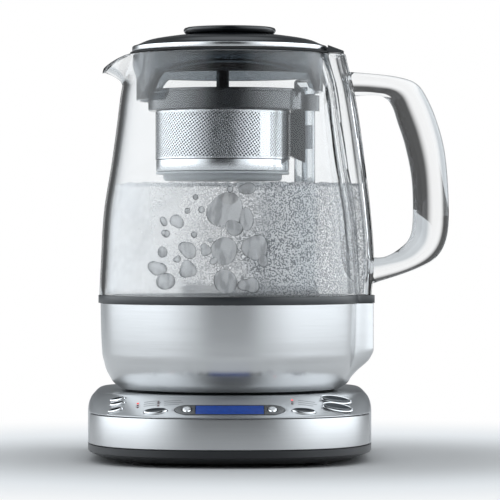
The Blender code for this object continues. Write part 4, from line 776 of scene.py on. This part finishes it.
class TEA_OT_glass_jug(Operator):
    """The clear glass jug, with its spout and column, and the clear handle that is fused to it"""

    bl_idname = "tea_maker.glass_jug"
    bl_label = "Glass Jug and Handle"

    def execute(self, context):
        wall = context.scene.tea_maker_sizes.glass_wall
        climbs = [CLOSE_RINGS * index / 40 for index in range(40)]
        climbs += [CLOSE_RINGS + (1.0 - CLOSE_RINGS) * index / 16 for index in range(17)]
        jug = grow("jug_glass", wall_rings(glass_face, climbs, wall, True), "joined")
        combine(jug, self.handle(wall), "UNION")
        dress(jug, "jug", "clear_glass", ("glass_jug", "jug_handle"), angle=28.0)
        return {"FINISHED"}

    def handle(self, wall):
        """A loft of soft-cornered sections along the handle's curve, with its ends inside the glass."""
        def root(share):
            height = HANDLE_LOW + HANDLE_TALL * share
            reach = GLASS_REACH * read(GLASS_TABLE, height / GLASS_TALL, 2) - 0.5 * wall
            return Vector((reach, 0.0, GLASS_LOW + height))

        def bend(reach, rise):
            return Vector((HANDLE_REACH * reach, 0.0, GLASS_LOW + HANDLE_LOW + HANDLE_TALL * rise))

        pairs = [(root(1.0), root(0.884)), *((bend(*row[:2]), bend(*row[2:])) for row in HANDLE_TABLE),
                 (root(0.0), root(0.129))]
        rings = []
        for index in range(len(pairs) - 1):
            near = [pairs[min(max(index + step, 0), len(pairs) - 1)] for step in (-1, 0, 1, 2)]
            for part in range(6 if index < len(pairs) - 2 else 7):
                outer, inner = (self.along(*(pair[side] for pair in near), part / 6) for side in (0, 1))
                rings.append(self.section(outer, inner))
        return grow("handle_form", rings)

    @staticmethod
    def along(before, start, end, after, share):
        """A point on the smooth curve from start to end."""
        return 0.5 * ((2.0 * start) + (end - before) * share
                      + (2.0 * before - 5.0 * start + 4.0 * end - after) * share ** 2
                      + (3.0 * start - before - 3.0 * end + after) * share ** 3)

    @staticmethod
    def section(outer, inner):
        """A section that is thick beyond its middle and falls in a long curve to its inner edge."""
        ring = []
        for index in range(48):
            angle = math.tau * index / 48
            share = 0.5 - 0.5 * math.cos(angle)
            if share < HANDLE_CREST:
                thick = math.sqrt(1.0 - ((HANDLE_CREST - share) / HANDLE_CREST) ** 2)
            else:
                past = (share - HANDLE_CREST) / (1.0 - HANDLE_CREST)
                thick = (0.72 + 0.28 * math.cos(0.5 * math.pi * past)) * (1.0 - past ** 8) ** 0.5
            half = math.copysign(HANDLE_HALF_WIDTH * thick, math.sin(angle))
            ring.append(inner.lerp(outer, share) + Vector((0.0, half, 0.0)))
        return ring


class TEA_OT_lower_jug(Operator):
    """The brushed steel lower shell, the dark joint ring over it and the jug's dark foot"""

    bl_idname = "tea_maker.lower_jug"
    bl_label = "Steel Shell, Joint Ring and Foot"

    def execute(self, context):
        climbs = [0.03 * index for index in range(20)] + [0.6 + 0.05 * index for index in range(8)] + [1.0]
        shell = grow("shell_brushed", wall_rings(shell_face, climbs, 0.0012, False), "joined")
        dress(shell, "jug", "brushed_steel", ("steel_lower_shell",), angle=32.0)
        self.joint()
        low, high = span("jug_foot")
        hole, rim, top = 0.0203, 0.0623, high - 0.0032
        foot = turned("foot_moulded", [
            (hole, low), (0.0626, low), (0.0635, low + 0.0009), (rim, low + 0.0009), (rim, high),
            (rim - 0.002, high), (rim - 0.002, top), (hole, top)])
        soften(foot, 0.0003)
        dress(foot, "jug", "gloss_black", ("jug_foot",))
        return {"FINISHED"}

    def joint(self):
        """The ring between glass and steel: a band outside, a seat for the floor and a spigot below."""
        low, high = span("joint_ring")
        inner, spigot, step, seat = 0.0718, 0.0759, high - 0.0045, PLATE_LOW - 0.0003
        profile = ((0.0787, 0.0866, step), (0.0787, 0.0866, high), (inner, inner, high), (inner, inner, seat),
                   (inner - 0.004, inner, seat), (inner - 0.004, inner, low), (spigot, spigot, low),
                   (spigot, spigot, step))
        rings = [[at(angle, plan_radius(angle, radius, reach), height) for angle in jug_angles()]
                 for radius, reach, height in profile]
        ring = grow("ring_moulded", rings, "joined")
        soften(ring, 0.0006, 3, 50.0)
        dress(ring, "jug", "ring_dark", ("joint_ring",), angle=40.0)


class TEA_OT_post(Operator):
    """The post that the basket rides on, with its seal, and the pieces hidden in the jug's foot"""

    bl_idname = "tea_maker.post"
    bl_label = "Post and Drive"

    def execute(self, context):
        low, high = span("lift_post")
        bore, hole = 0.0053, 0.0004
        post = turned("post_tube", [
            (bore, low), (POST_RADIUS, low), (POST_RADIUS, high - 0.0017), (0.0058, high - 0.0006),
            (0.0048, high), (hole, high), (hole, high - 0.001), (0.0045, high - 0.001), (bore, high - 0.002)],
                      centre=(POST_X, 0.0), steps=64)
        dress(post, "jug", "post_clear", ("lift_post",))
        redress("rubber", "post_seal")
        redress("fine_steel", "heater_plate", "temperature_probe")
        redress("copper", "heating_element")
        redress("magnet", "lift_motor", "drive_magnet")
        redress("chrome", "lead_screw")
        redress("socket_dark", "jug_plug")
        return {"FINISHED"}


# Large bubbles: across and height over the table, half width and half height in tenths of a
# millimetre, and lean
BUBBLES = (
    (-25, 1471, 110, 96, 0.2), (95, 1421, 42, 66, 0.1), (25, 1372, 44, 52, 0.3), (-31, 1238, 72, 84, -0.2),
    (146, 1257, 70, 82, 0.1), (190, 1181, 28, 42, 0.0), (-25, 1061, 70, 68, 0.2), (114, 1040, 60, 44, 0.0),
    (-303, 1409, 42, 40, 0.4), (-379, 1409, 28, 24, 0.0), (-240, 1244, 56, 46, -0.3),
    (-240, 1131, 52, 50, 0.3), (-385, 1231, 34, 32, 0.0), (-367, 1339, 26, 24, 0.0),
    (102, 1599, 50, 34, 0.0), (-138, 1244, 32, 34, 0.2), (-417, 1136, 70, 40, -0.2),
    (-367, 1061, 60, 52, 0.1), (285, 1593, 22, 20, 0.0), (-195, 1549, 16, 16, 0.0),
    (-162, 1477, 19, 19, 0.0), (-242, 1470, 17, 17, 0.0), (-204, 1332, 18, 18, 0.0), (2, 1594, 18, 18, 0.0),
    (-90, 1180, 26, 20, 0.5), (-300, 1190, 24, 20, 0.0), (-110, 1300, 14, 14, 0.0),
)
BUBBLE_UNIT = 0.0001
# Smaller bubbles than this one keep an even outline
SMALL_BUBBLE = 0.002
# The water's body stays this far from the glass, and the large bubbles stand in that gap
WATER_GAP = 0.0018
WATER_OVER_FLOOR = 0.0006
# How far the foam dips and rises, on the water and along the glass
FOAM, FOAM_EDGE = (-0.0009, 0.0011), (-0.0012, 0.0012)


class TEA_OT_water(Operator):
    """Boiling water in the jug: a milky body with a foamy top, and large bubbles at its front"""

    bl_idname = "tea_maker.water"
    bl_label = "Boiling Water"

    def execute(self, context):
        level = context.scene.tea_maker_sizes.water_level
        chance = random.Random(7)
        low = GLASS_LOW + WATER_OVER_FLOOR
        rings = []
        for step in range(17):
            height = low + (level - low) * step / 16
            rings.append([at(angle, self.reach(angle, height), height) for angle in jug_angles()])
        edge = rings[-1]
        for share in (0.97, 0.90, 0.80, 0.65, 0.45, 0.25, 0.1):
            rings.append([Vector((point.x * share, point.y * share, level + chance.uniform(*FOAM)))
                          for point in edge])
        for point in edge:
            point.z += chance.uniform(*FOAM_EDGE)
        self.pour(grow("water_body", rings), "boiling_water")
        for number, row in enumerate(BUBBLES, 1):
            self.bubble(number, *(BUBBLE_UNIT * part for part in row[:4]), row[4], chance)
        return {"FINISHED"}

    @staticmethod
    def reach(angle, height):
        """How far the water's body goes out."""
        reach, _ = glass_face(angle, (height - GLASS_LOW) / GLASS_TALL)
        return reach - bpy.context.scene.tea_maker_sizes.glass_wall - WATER_GAP

    def bubble(self, number, across, height, half_width, half_height, lean, chance):
        """A soft, uneven, flat drop on the front of the water."""
        let_go()
        angle = -math.acos(across / 0.070)
        place = Vector((across, -math.sqrt(self.reach(angle, height) ** 2 - across ** 2), height))
        bpy.ops.mesh.primitive_uv_sphere_add(segments=28, ring_count=18, radius=1.0, enter_editmode=True)
        drop = bpy.context.object
        drop.name = drop.data.name = f"bubble_{number}"
        bpy.ops.transform.resize(value=(half_width, min(0.0013, 0.6 * half_width), half_height),
                                 center_override=(0.0, 0.0, 0.0))
        bpy.ops.transform.rotate(value=lean, orient_axis="Y", center_override=(0.0, 0.0, 0.0))
        shape = bmesh.from_edit_mesh(drop.data)
        waves = [(chance.uniform(1.6, 3.4), chance.uniform(0.0, math.tau), chance.uniform(0.03, 0.09))
                 for _ in range(3)]
        for point in shape.verts:
            around = math.atan2(point.co.z, point.co.x)
            swell = 1.0 + sum(size * math.sin(round(turns) * around + start) for turns, start, size in waves)
            point.co = AXIS + place + point.co * (swell if half_width > SMALL_BUBBLE else 1.0)
        bmesh.update_edit_mesh(drop.data)
        bpy.ops.transform.rotate(value=-(angle + math.pi / 2), orient_axis="Z", center_override=AXIS + place)
        self.pour(drop, "bubble_skin")

    def pour(self, piece, finish):
        """Shade a piece of the water, and let it move with the jug."""
        take(piece)
        bpy.ops.object.shade_smooth()
        piece.data.materials.append(finishes()[finish])
        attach(piece, "jug")


# Pieces of the basket

class TEA_OT_basket(Operator):
    """The perforated basket with its rim, lower band, base cup, arm and lid"""

    bl_idname = "tea_maker.basket"
    bl_label = "Basket"

    def execute(self, context):
        centre = (BASKET_X, 0.0)
        low, high = span("basket_mesh")
        sieve = turned("basket_holed", [(SIEVE_INNER, low), (SIEVE_OUTER, low), (SIEVE_OUTER, high),
                                        (SIEVE_INNER, high)], centre=centre)
        inside = 0.5 * (SIEVE_INNER + SIEVE_OUTER)
        # The inside face of the sieve takes the painted shade finish
        dress(sieve, "basket", "holed_steel sieve_dark", ("basket_mesh",),
              second=faces_where(sieve, lambda spot: math.hypot(spot.x - BASKET_X, spot.y) < inside))
        turned_ring("basket_band", "basket_lower_band", "basket", "fine_steel", 0.0387, 0.0399, 0.0003,
                    centre)
        self.cup(centre)
        self.rim(centre)
        self.cover(centre)
        redress("rim_smoke", "basket_arm")
        redress("magnet", "follower_magnet_front", "follower_magnet_back")
        return {"FINISHED"}

    def cup(self, centre):
        low, high = span("basket_base_cup")
        inner, side, lip, edge = 0.0336, 0.0356, 0.0399, 0.0006
        cup = turned("basket_cup", [
            (edge, low), (side - 0.0012, low), (side, low + 0.0012), (side, high - 0.0014),
            (lip, high - 0.0014), (lip, high), (inner, high), (inner, low + 0.0015), (edge, low + 0.0015)],
                     centre=centre)
        soften(cup, 0.0003)
        dress(cup, "basket", "cup_grey", ("basket_base_cup",))

    def rim(self, centre):
        """The rim's bowl with a rolled top edge, and the collar round the post."""
        low, high = span("basket_rim")
        side, post = (-0.0018, 0.0), (POST_X, 0.0)
        bowl = ((0.0464, low), (0.0470, low + 0.0006), (0.0472, high - 0.0022), (0.0476, high - 0.0018),
                (0.0476, high - 0.0003), (0.0473, high))
        step = ((RIM_INNER, high), (RIM_INNER, low + 0.007), (0.0379, low + 0.007), (0.0379, low))
        rings = [circle(*row, side) for row in bowl] + [circle(*row, centre) for row in step]
        rim = grow("basket_ring", rings, "joined")
        collar = column("collar", 0.0089, low, low + 0.0094, post, 64)
        combine(collar, column("clearance", RIM_INNER, low - 0.002, high + 0.002, centre, 128))
        combine(rim, collar, "UNION")
        combine(rim, column("bore", POST_RADIUS + 0.0004, low - 0.002, high + 0.002, post, 64))
        dress(rim, "basket", "rim_smoke", ("basket_rim",))

    def cover(self, centre):
        """The basket's own lid, with a stem to lift it by."""
        low, high = span("basket_lid")
        edge, wide, stem, top = 0.0006, 0.0400, 0.0038, low + 0.0028
        cover = turned("basket_cover", [
            (edge, low), (wide, low), (wide, top), (0.0075, top), (0.0060, top + 0.0007),
            (0.0044, top + 0.0016), (stem, top + 0.0030), (stem, high - 0.0010), (0.0030, high - 0.0002),
            (0.0018, high)], "capped", centre)
        soften(cover, 0.0003)
        dress(cover, "basket_lid", "gloss_black", ("basket_lid",))


# Pieces of the lid

class TEA_OT_lid(Operator):
    """The jug's lid: seal, band, dome, grip, skirt, spout filter and rear cover"""

    bl_idname = "tea_maker.lid"
    bl_label = "Lid"

    def execute(self, context):
        turned_ring("seal_ring", "lid_seal", "lid", "rubber", 0.0563, 0.0597, 0.0003)
        turned_ring("lid_edge", "lid_band", "lid", "fine_steel", 0.0553, 0.0585, 0.0005)
        self.dome()
        low, high = span("lid_grip")
        hole, edge = 0.0006, 0.0276
        grip = turned("grip_disc", [
            (hole, low), (0.0258, low), (0.0270, low + 0.0008), (edge, low + 0.0020), (edge, high - 0.0014),
            (0.0270, high - 0.0005), (0.0258, high - 0.0001), (0.0200, high), (hole, high)])
        dress(grip, "lid", "lid_dark", ("lid_grip",), angle=50.0)
        self.skirt()
        redress("holed_filter", "spout_filter")
        redress("smoke", "lid_rear_cover")
        return {"FINISHED"}

    def dome(self):
        """A shallow dome that falls in a smooth curve to its edge."""
        low, high = span("lid_dome")
        edge, wall, hole, end = 0.0579, 0.0016, 0.0006, 0.545
        table = ((0.000, 0.0), (0.150, 0.49), (0.350, 0.81), (end, 1.0))
        shares = [end * index / 24 for index in range(25)]
        outer = [(edge * (1.0 - share), low + (high - low) * read(table, share, 1)) for share in shares]
        inner = [(radius - wall, max(height - wall, low)) for radius, height in outer]
        dome = turned("dome_shell", [(hole, outer[-1][1])] + outer[::-1] + inner + [(hole, inner[-1][1])])
        dress(dome, "lid", "lid_dark", ("lid_dome",), angle=30.0)

    def skirt(self):
        """The smoky skirt, with a leg at the spout and a leg at the post."""
        bottom, top = span("lid_skirt")
        leg, rear_leg, outer, inner = 0.0150, 0.0100, 0.0560, 0.0538
        rings = [[], [], [], []]
        for index in range(192):
            angle = math.tau * index / 192
            from_rear = abs(math.remainder(angle, math.tau))
            from_spout = abs(math.remainder(angle - math.pi, math.tau))
            low = bottom + leg
            low -= leg * falling(from_spout, math.radians(30), math.radians(47))
            low -= rear_leg * falling(from_rear, math.radians(22), math.radians(34))
            for ring, radius, height in zip(rings, (outer, outer, inner, inner), (low, top, top, low)):
                ring.append(at(angle, radius, height))
        skirt = grow("skirt_shell", rings, "joined")
        soften(skirt, 0.0004)
        dress(skirt, "lid", "skirt_clear", ("lid_skirt",))


# Pieces of the power base

class TEA_OT_base(Operator):
    """The power base: tray, feet, steel front band and the silver top housing with its openings"""

    bl_idname = "tea_maker.base"
    bl_label = "Power Base"

    def execute(self, context):
        self.tray()
        band = grow("band_front", [base_ring(0.0, BAND_LOW), base_ring(0.0, BAND_HIGH),
                                   base_ring(0.0015, BAND_HIGH), base_ring(0.0015, BAND_LOW)], "joined")
        self.cut_back(band, BAND_END)
        soften(band, 0.0004)
        dress(band, "base", "brushed_band", ("steel_front_band",))
        self.housing()
        for number in range(1, 5):
            redress("rubber", f"rubber_foot_{number}")
            redress("chrome", f"case_screw_{number}")
        redress("rubber", "cord_gland")
        redress("socket_dark", "power_socket", "button_carrier")
        redress("board_green", "control_board")
        return {"FINISHED"}

    def tray(self):
        """The black tray: a chamfer, a lip inside the band, and four stepped screw holes."""
        low, lip, inner = TRAY_LOW, 0.0023, 0.0043
        top, chamfer, floor = low + 0.0083, low + 0.0042, low + 0.002
        outline = ((0.0100, low), (0.0094, low + 0.0001), (0.0016, low + 0.0030), (0.0006, low + 0.0035),
                   (0.0, chamfer), (0.0, top - 0.0002), (0.0003, top), (lip, top), (lip, top + 0.0040),
                   (inner, top + 0.0040), (inner, chamfer + 0.001), (0.011, floor))
        tray = grow("tray_moulded", [base_ring(*row) for row in outline])
        head, step = 0.0034, low + 0.0012
        for spot in SCREWS:
            combine(tray, grow("hole", [circle(radius, height, spot, 32) for radius, height in (
                (head, low - 0.002), (head, step), (SCREW_HOLE, step), (SCREW_HOLE, floor + 0.002))]))
        dress(tray, "base", "tray_black", ("base_tray",), angle=40.0)

    @staticmethod
    def cut_back(piece, end):
        """Cut a piece off behind a place, and close the cut."""
        take(piece)
        bpy.ops.object.mode_set(mode="EDIT")
        bpy.ops.mesh.select_all(action="SELECT")
        bpy.ops.mesh.bisect(plane_co=(0.0, end, 0.0), plane_no=(0.0, 1.0, 0.0), use_fill=True,
                            clear_outer=True)
        bpy.ops.object.mode_set(mode="OBJECT")

    def housing(self):
        """The silver housing, hollow, with holes for all that shows in its panel."""
        shares = [math.sin(0.5 * math.pi * index / 20) for index in range(21)]
        case = grow("case_shell", [base_ring(0.0, BAND_LOW), base_ring(0.0, PANEL_LOW - 0.0004),
                                   *(base_outline(*top_line(share)) for share in shares)])
        wall = 0.002
        combine(case, grow("hollow", [base_ring(wall, BAND_LOW - wall),
                                      *(base_outline(*top_line(share, wall)) for share in shares)]))
        # Room for the front band, which ends a little in front of this cut
        half_width, half_depth = 0.09, 0.05
        shift = BAND_END - AXIS.y + 0.0003 - half_depth
        combine(case, grow("window", [box_ring(half_width, half_depth, BAND_LOW - wall, shift),
                                      box_ring(half_width, half_depth, BAND_HIGH + 0.0005, shift)]))
        for hole in panel_holes():
            combine(case, hole)
        turn = Matrix.Translation((0.0, 0.095, middle("cord_gland", 2)))
        turn = turn @ Matrix.Rotation(math.radians(-90), 4, "X")
        combine(case, grow("gland", [circle(0.0055, -0.006, steps=48), circle(0.0055, 0.02, steps=48)],
                           place=turn))
        low, high = TRAY_LOW + 0.0023, SEAT - 0.001
        for spot in SCREWS:
            combine(case, turned("boss", [(SCREW_HOLE, low), (0.004, low), (0.004, high), (SCREW_HOLE, high)],
                                 "joined", spot, 32), "UNION")
        soften(case, 0.0002, 2, 50.0)
        dress(case, "base", "silver_case", ("top_housing",), angle=30.0)


# Buttons by size: half width and half height, finishes of edge and dish, slot, how far they turn with
# the panel's curve, and the name, way across and way back of each
BUTTONS = (
    ((0.0052, 0.0022), "chrome dish_dark", "chrome", 0.43,
     (("small_button_1", -0.0652, 0.0441), ("small_button_2", -0.0650, 0.0377),
      ("small_button_3", -0.0660, 0.0303))),
    ((0.0071, 0.0040), "chrome dish_dark", "smoke_plastic", 0.43,
     (("oval_button_left", -0.0425, 0.0143), ("oval_button_right", 0.0425, 0.0143))),
    ((0.0092, 0.0042), "button_dark button_dark", "smoke_plastic", 0.60,
     (("large_button_lower", 0.0620, 0.0295), ("large_button_upper", 0.0615, 0.0398))),
)
# Light pipes: name, way across and back, finish of the top lens, start and length of the bars beside it
LIGHTS = (("light_pipe_left", -0.0530, 0.0272, "lamp_red", 0.0036, 0.0100),
          ("light_pipe_middle", -0.0411, 0.0250, "lamp_off", 0.0034, 0.0110),
          ("light_pipe_right", 0.0360, 0.0265, "lamp_red", 0.0034, 0.0110))
LENS_STEPS = (-0.003, 0.0, 0.003)
BEZEL_RISE, ROCKER_ACROSS = 0.0120, 0.0245
# From how far under the panel to how far over it a cutter goes
CUT = (-0.004, 0.002)


def draped(name, stations, levels):
    """A slab that follows the panel's curve, from (across, half height) stations."""
    corners = [(side, levels[0]) for side in (-1.0, -0.5, 0.0, 0.5, 1.0)]
    corners += [(side, levels[1]) for side in (1.0, 0.5, 0.0, -0.5, -1.0)]
    return grow(name, [[on_panel(across, BEZEL_RISE + side * half, lift) for side, lift in corners]
                       for across, half in stations])


def box_stations(half_length, half_height, steps=16):
    """Stations of a slab with straight sides."""
    return [(half_length * (2.0 * index / steps - 1.0), half_height) for index in range(steps + 1)]


def slot_stations(half_length, half_height):
    """Stations of a slab with straight long sides and half-round ends."""
    straight = half_length - half_height
    angles = [math.radians(angle) for angle in (4, 14, 24, 36, 48, 60, 72, 81)]
    end = [(straight + half_height * math.cos(angle), half_height * math.sin(angle)) for angle in angles]
    return [(-across, half) for across, half in end] + box_stations(straight, half_height, 24) + end[::-1]


def rocker_frames():
    back = on_panel(ROCKER_ACROSS, BEZEL_RISE, 0.0).y - BASE_FRONT
    return [(name, control_frame(side * ROCKER_ACROSS, back))
            for name, side in (("rocker_left", -1), ("rocker_right", 1))]


def oval_hole(half_width, half_height, place):
    """A cutter for an oval hole in the panel."""
    return grow("hole", [oval(half_width, half_height, level) for level in CUT], place=place)


def panel_holes():
    """Cutters for the holes in the panel, each a little wider than what stands in it."""
    gap = 0.0003
    tools = [draped("hole", slot_stations(0.0319, 0.0079), CUT)]
    for (half_width, half_height), _, _, turn_share, places in BUTTONS:
        for _, across, back in places:
            place = control_frame(across, back, turn_share)
            tools.append(oval_hole(half_width + gap, half_height + gap, place))
    for _, across, back, *_ in LIGHTS:
        for step in LENS_STEPS:
            tools.append(grow("hole", [circle(0.0009, level, (0.0, step), 24) for level in CUT],
                              place=control_frame(across, back)))
    return tools


class TEA_OT_controls(Operator):
    """The panel's buttons, rings, display, rockers and indicator lights"""

    bl_idname = "tea_maker.controls"
    bl_label = "Controls"

    def execute(self, context):
        for size, finish, slot, turn_share, places in BUTTONS:
            self.buttons(size, finish, slot, [(name, control_frame(across, back, turn_share))
                                              for name, across, back in places])
        bezel = draped("bezel_moulded", slot_stations(0.0316, 0.0076), (-0.002, 0.0002))
        combine(bezel, draped("hole", box_stations(0.0198, 0.0069), CUT))
        for _, place in rocker_frames():
            combine(bezel, oval_hole(0.0031, 0.0045, place))
        dress(bezel, "base", "gloss_black", ("display_bezel",))
        self.rockers()
        window = draped("display_lens", box_stations(0.0195, 0.0066), (-0.002, 0.0001))
        dress(window, "base", "display_lit", ("display_window",))
        self.lights()
        return {"FINISHED"}

    @staticmethod
    def buttons(size, finish, slot, frames):
        """Oval caps with a shallow dish, each on its flange. Large buttons have a bright ring round them."""
        wide, tall = size
        shape = ((0.0005, -0.0052), (0.0005, -0.0036), (-0.0002, -0.0036), (-0.0002, 0.0002),
                 (-0.0004, 0.0006), (-0.0008, 0.0008), (-0.0012, 0.0007))
        rings = [oval(wide + out, tall + out, level) for out, level in shape]
        across, along = wide - 0.0002, tall - 0.0002
        rings += [oval(0.6 * across, 0.5 * along, 0.0003), oval(0.3 * across, 0.2 * along, 0.0001)]
        cap = grow("cap", rings)
        dish = faces_where(cap, lambda spot: spot.z > 0.0 and math.hypot(
            spot.x / (across - 0.0008), spot.y / (along - 0.0008)) < 1.0)
        caps = set_out(cap, [(name + "_cap", place) for name, place in frames])
        for one, (name, _) in zip(caps, frames):
            dress(one, name, finish, (name,), angle=40.0, second=dish)
        if finish.startswith("button_dark"):
            section = ((0.0011, 0.0003), (0.0011, 0.0006), (0.0007, 0.0009), (0.0003, 0.0007),
                       (0.0003, 0.0003))
            ring = grow("trim", [oval(wide + out, tall + out, level) for out, level in section], "joined")
            rings = set_out(ring, [(name + "_trim", place) for name, place in frames])
            for one, (name, _) in zip(rings, frames):
                dress(one, "base", "chrome", (name + "_ring",), angle=50.0)

    @staticmethod
    def rockers():
        """Two domed oval caps."""
        shape = ((0.0026, 0.0040, -0.0014), (0.0026, 0.0040, 0.0004), (0.0024, 0.0038, 0.0008),
                 (0.0018, 0.0031, 0.0010), (0.0009, 0.0016, 0.0009))
        cap = grow("rocker", [oval(*row) for row in shape])
        frames = rocker_frames()
        caps = set_out(cap, [(name + "_cap", place) for name, place in frames])
        for one, (name, _) in zip(caps, frames):
            dress(one, name, "chrome", (name,), angle=50.0)

    def lights(self):
        """Light pipes with three lenses each, and plain bars beside them in place of their legends."""
        pipe = grow("pipe", [box_ring(0.0014, 0.0044, -0.0059), box_ring(0.0014, 0.0044, -0.0026)])
        for step in LENS_STEPS:
            combine(pipe, grow("lens", [circle(radius, level, (0.0, step), 24) for radius, level in (
                (0.0006, -0.0040), (0.0006, 0.0001), (0.0004, 0.0002))]), "UNION")
        dim = faces_where(pipe, lambda spot: spot.y < 0.0015)
        frames = [(name + "_body", control_frame(across, back)) for name, across, back, *_ in LIGHTS]
        for one, (_, place), row in zip(set_out(pipe, frames), frames, LIGHTS):
            name, _, _, lamp, first, length = row
            dress(one, "base", lamp + " lamp_off", (name,), second=dim)
            for number, (step, share) in enumerate(zip(LENS_STEPS, (0.8, 1.0, 0.9)), 1):
                bar = self.bar(f"{name}_mark_{number}", place, first, length * share, step)
                dress(bar, "base", "legend_grey")

    @staticmethod
    def bar(name, place, first, length, rise):
        """A plain bar printed on the panel, as a thin film that follows the panel."""
        half, low, high = 0.00035, 0.00001, 0.00004
        rings = []
        for index in range(9):
            ring = []
            for step, lift in ((-half, low), (half, low), (half, high), (-half, high)):
                spot = place @ Vector((first + length * index / 8, rise + step, 0.0))
                ring.append(Vector((spot.x, spot.y, top_height(spot.x, spot.y) + lift)))
            rings.append(ring)
        return grow(name, rings)


# Studio

# Lamps: name, place, size and power
LAMPS = (("box_over", (0.0, -0.1, 1.3), (1.0, 0.8), 1.5), ("box_rear", (0.0, 0.9, 1.2), (1.4, 0.6), 2.5))
WHITE = (1.0, 1.0, 1.0)
# Light that has gone through the glass shows the bright room only this close to straight back
STRAIGHT_BACK = (0.95, 0.997)


class TEA_OT_studio(Operator):
    """The floor, the light and the camera at the photograph's angle"""

    bl_idname = "tea_maker.studio"
    bl_label = "Studio"

    def execute(self, context):
        scene = context.scene
        scene.view_settings.view_transform = "Standard"
        self.floor(list(scene.tea_maker_colours.floor))
        self.world(scene)
        self.lamps()
        self.camera(scene)
        return {"FINISHED"}

    @staticmethod
    def floor(pale):
        """A floor with a painted shade near the object and white farther out, as the camera sees it."""
        let_go()
        bpy.ops.mesh.primitive_plane_add(size=60.0, location=(0.0, 0.0, 0.0))
        floor = bpy.context.object
        floor.name = "studio_floor"
        recipe = material("studio_floor")
        rays = recipe.rays()
        spot = recipe.place()
        across, along, _ = recipe.parts(spot)
        reach = (across * across + along * along + 1e-6) ** 0.5
        through = rays["Is Transmission Ray"] * (along / reach).above(*STRAIGHT_BACK)
        shown = rays["Is Camera Ray"].math("MAXIMUM", through)
        # Painted shadow: the floor that the camera sees is darker near the object, widening the shadow that
        # the lamps cast
        near = reach.above(0.11, 0.27).blend((0.48, 0.48, 0.48), (0.76, 0.76, 0.76))
        other = recipe.noise(spot, 2.0).blend(shade(pale, 0.99), pale)
        recipe.set(Base_Color=shown.blend(other, near), Roughness=0.9, Specular_IOR_Level=0.0)
        glow = recipe.node("ShaderNodeEmission", None, {"Color": WHITE, "Strength": 1.0})
        recipe.mix(reach.above(0.22, 0.45) * shown, glow)
        floor.data.materials.append(recipe.holder)

    @staticmethod
    def world(scene):
        """White behind the object; for other light a dark gap in front, bright sides and a dim low rear."""
        world = bpy.data.worlds.new("studio_room")
        scene.world = world
        recipe = Recipe(world)
        ground = next(node for node in recipe.tree.nodes if node.type == "BACKGROUND")
        across, along, up = recipe.parts(recipe.node("ShaderNodeTexCoord"))
        flat = (across * across + along * along + 1e-6) ** 0.5
        front = (along * -1.0 / flat).above(0.84, 0.99)
        rear = (along / flat).above(0.60, 0.88) * (1.0 - up.above(0.52, 0.74))
        side = (across.math("ABSOLUTE") / flat).above(0.45, 0.98)
        behind = along.above(*STRAIGHT_BACK) * 0.92 + 0.08
        # Light that bounced off something inside the glass sees the room as a mirror does
        rays = recipe.rays()
        bounced = (rays["Glossy Depth"] + rays["Diffuse Depth"]).above(0.4, 0.6)
        bounced = bounced * rays["Transmission Depth"].above(2.4, 2.6)
        straight, through = rays["Is Camera Ray"], rays["Is Transmission Ray"] * (1.0 - bounced)
        mirrored = rays["Is Glossy Ray"].math("MAXIMUM", bounced)
        room = (1.0 + side * (0.4 + mirrored * 1.3)) * (1.0 - front * 0.97) * (1.0 - rear * 0.88)
        room = room * (1.0 - up.above(0.45, 0.85) * mirrored * 0.40)
        level = room + (behind - room) * through
        recipe.put(ground.inputs["Strength"], level + (1.0 - level) * straight)
        tint = straight.math("MAXIMUM", through).blend((0.90, 0.955, 1.0), WHITE)
        recipe.put(ground.inputs["Color"], tint)

    @staticmethod
    def lamps():
        """Two soft boxes, over the object and behind it."""
        for name, place, size, power in LAMPS:
            let_go()
            bpy.ops.object.light_add(type="AREA", location=place)
            lamp = bpy.context.object
            lamp.name = name
            lamp.data.shape = "RECTANGLE"
            lamp.data.size, lamp.data.size_y = size
            lamp.data.energy = power
            lamp.visible_glossy = False
            aim = Vector((AXIS.x, AXIS.y, 0.12)) - Vector(place)
            lamp.rotation_euler = aim.to_track_quat("-Z", "Y").to_euler()

    @staticmethod
    def camera(scene):
        """A level camera two metres in front of the jug."""
        let_go()
        away, height = 2.0, 0.1302
        bpy.ops.object.camera_add(location=(AXIS.x, AXIS.y - away, height),
                                  rotation=(math.radians(90.0), 0.0, 0.0))
        camera = bpy.context.object
        camera.name = "studio_camera"
        camera.data.lens, camera.data.sensor_width = 240.0, 36.0
        camera.data.shift_x, camera.data.shift_y = 0.0406, -0.02
        scene.camera = camera


PIECES = (TEA_OT_glass_jug, TEA_OT_lower_jug, TEA_OT_post, TEA_OT_water, TEA_OT_basket, TEA_OT_lid,
          TEA_OT_base, TEA_OT_controls, TEA_OT_studio)


class TEA_PT_sidebar(Panel):
    """The tea maker's sizes, colours and pieces."""

    bl_label = "Tea Maker"
    bl_idname = "TEA_PT_sidebar"
    bl_space_type = "VIEW_3D"
    bl_region_type = "UI"
    bl_category = "Tea Maker"

    def draw(self, context):
        column = self.layout.column(align=True)
        for group in (context.scene.tea_maker_sizes, context.scene.tea_maker_colours):
            for name in group.bl_rna.properties.keys():
                if name not in ("rna_type", "name"):
                    column.prop(group, name)
        for piece in PIECES:
            column.operator(piece.bl_idname)


CLASSES = (TeaMakerSizes, TeaMakerColours, *PIECES, TEA_PT_sidebar)


def register():
    for one in CLASSES:
        bpy.utils.register_class(one)
    bpy.types.Scene.tea_maker_sizes = PointerProperty(type=TeaMakerSizes)
    bpy.types.Scene.tea_maker_colours = PointerProperty(type=TeaMakerColours)


def unregister():
    del bpy.types.Scene.tea_maker_colours
    del bpy.types.Scene.tea_maker_sizes
    for one in reversed(CLASSES):
        bpy.utils.unregister_class(one)


def main():
    register()
    for piece in PIECES:
        group, name = piece.bl_idname.split(".")
        getattr(getattr(bpy.ops, group), name)()
    let_go()


if __name__ == "__main__":
    main()
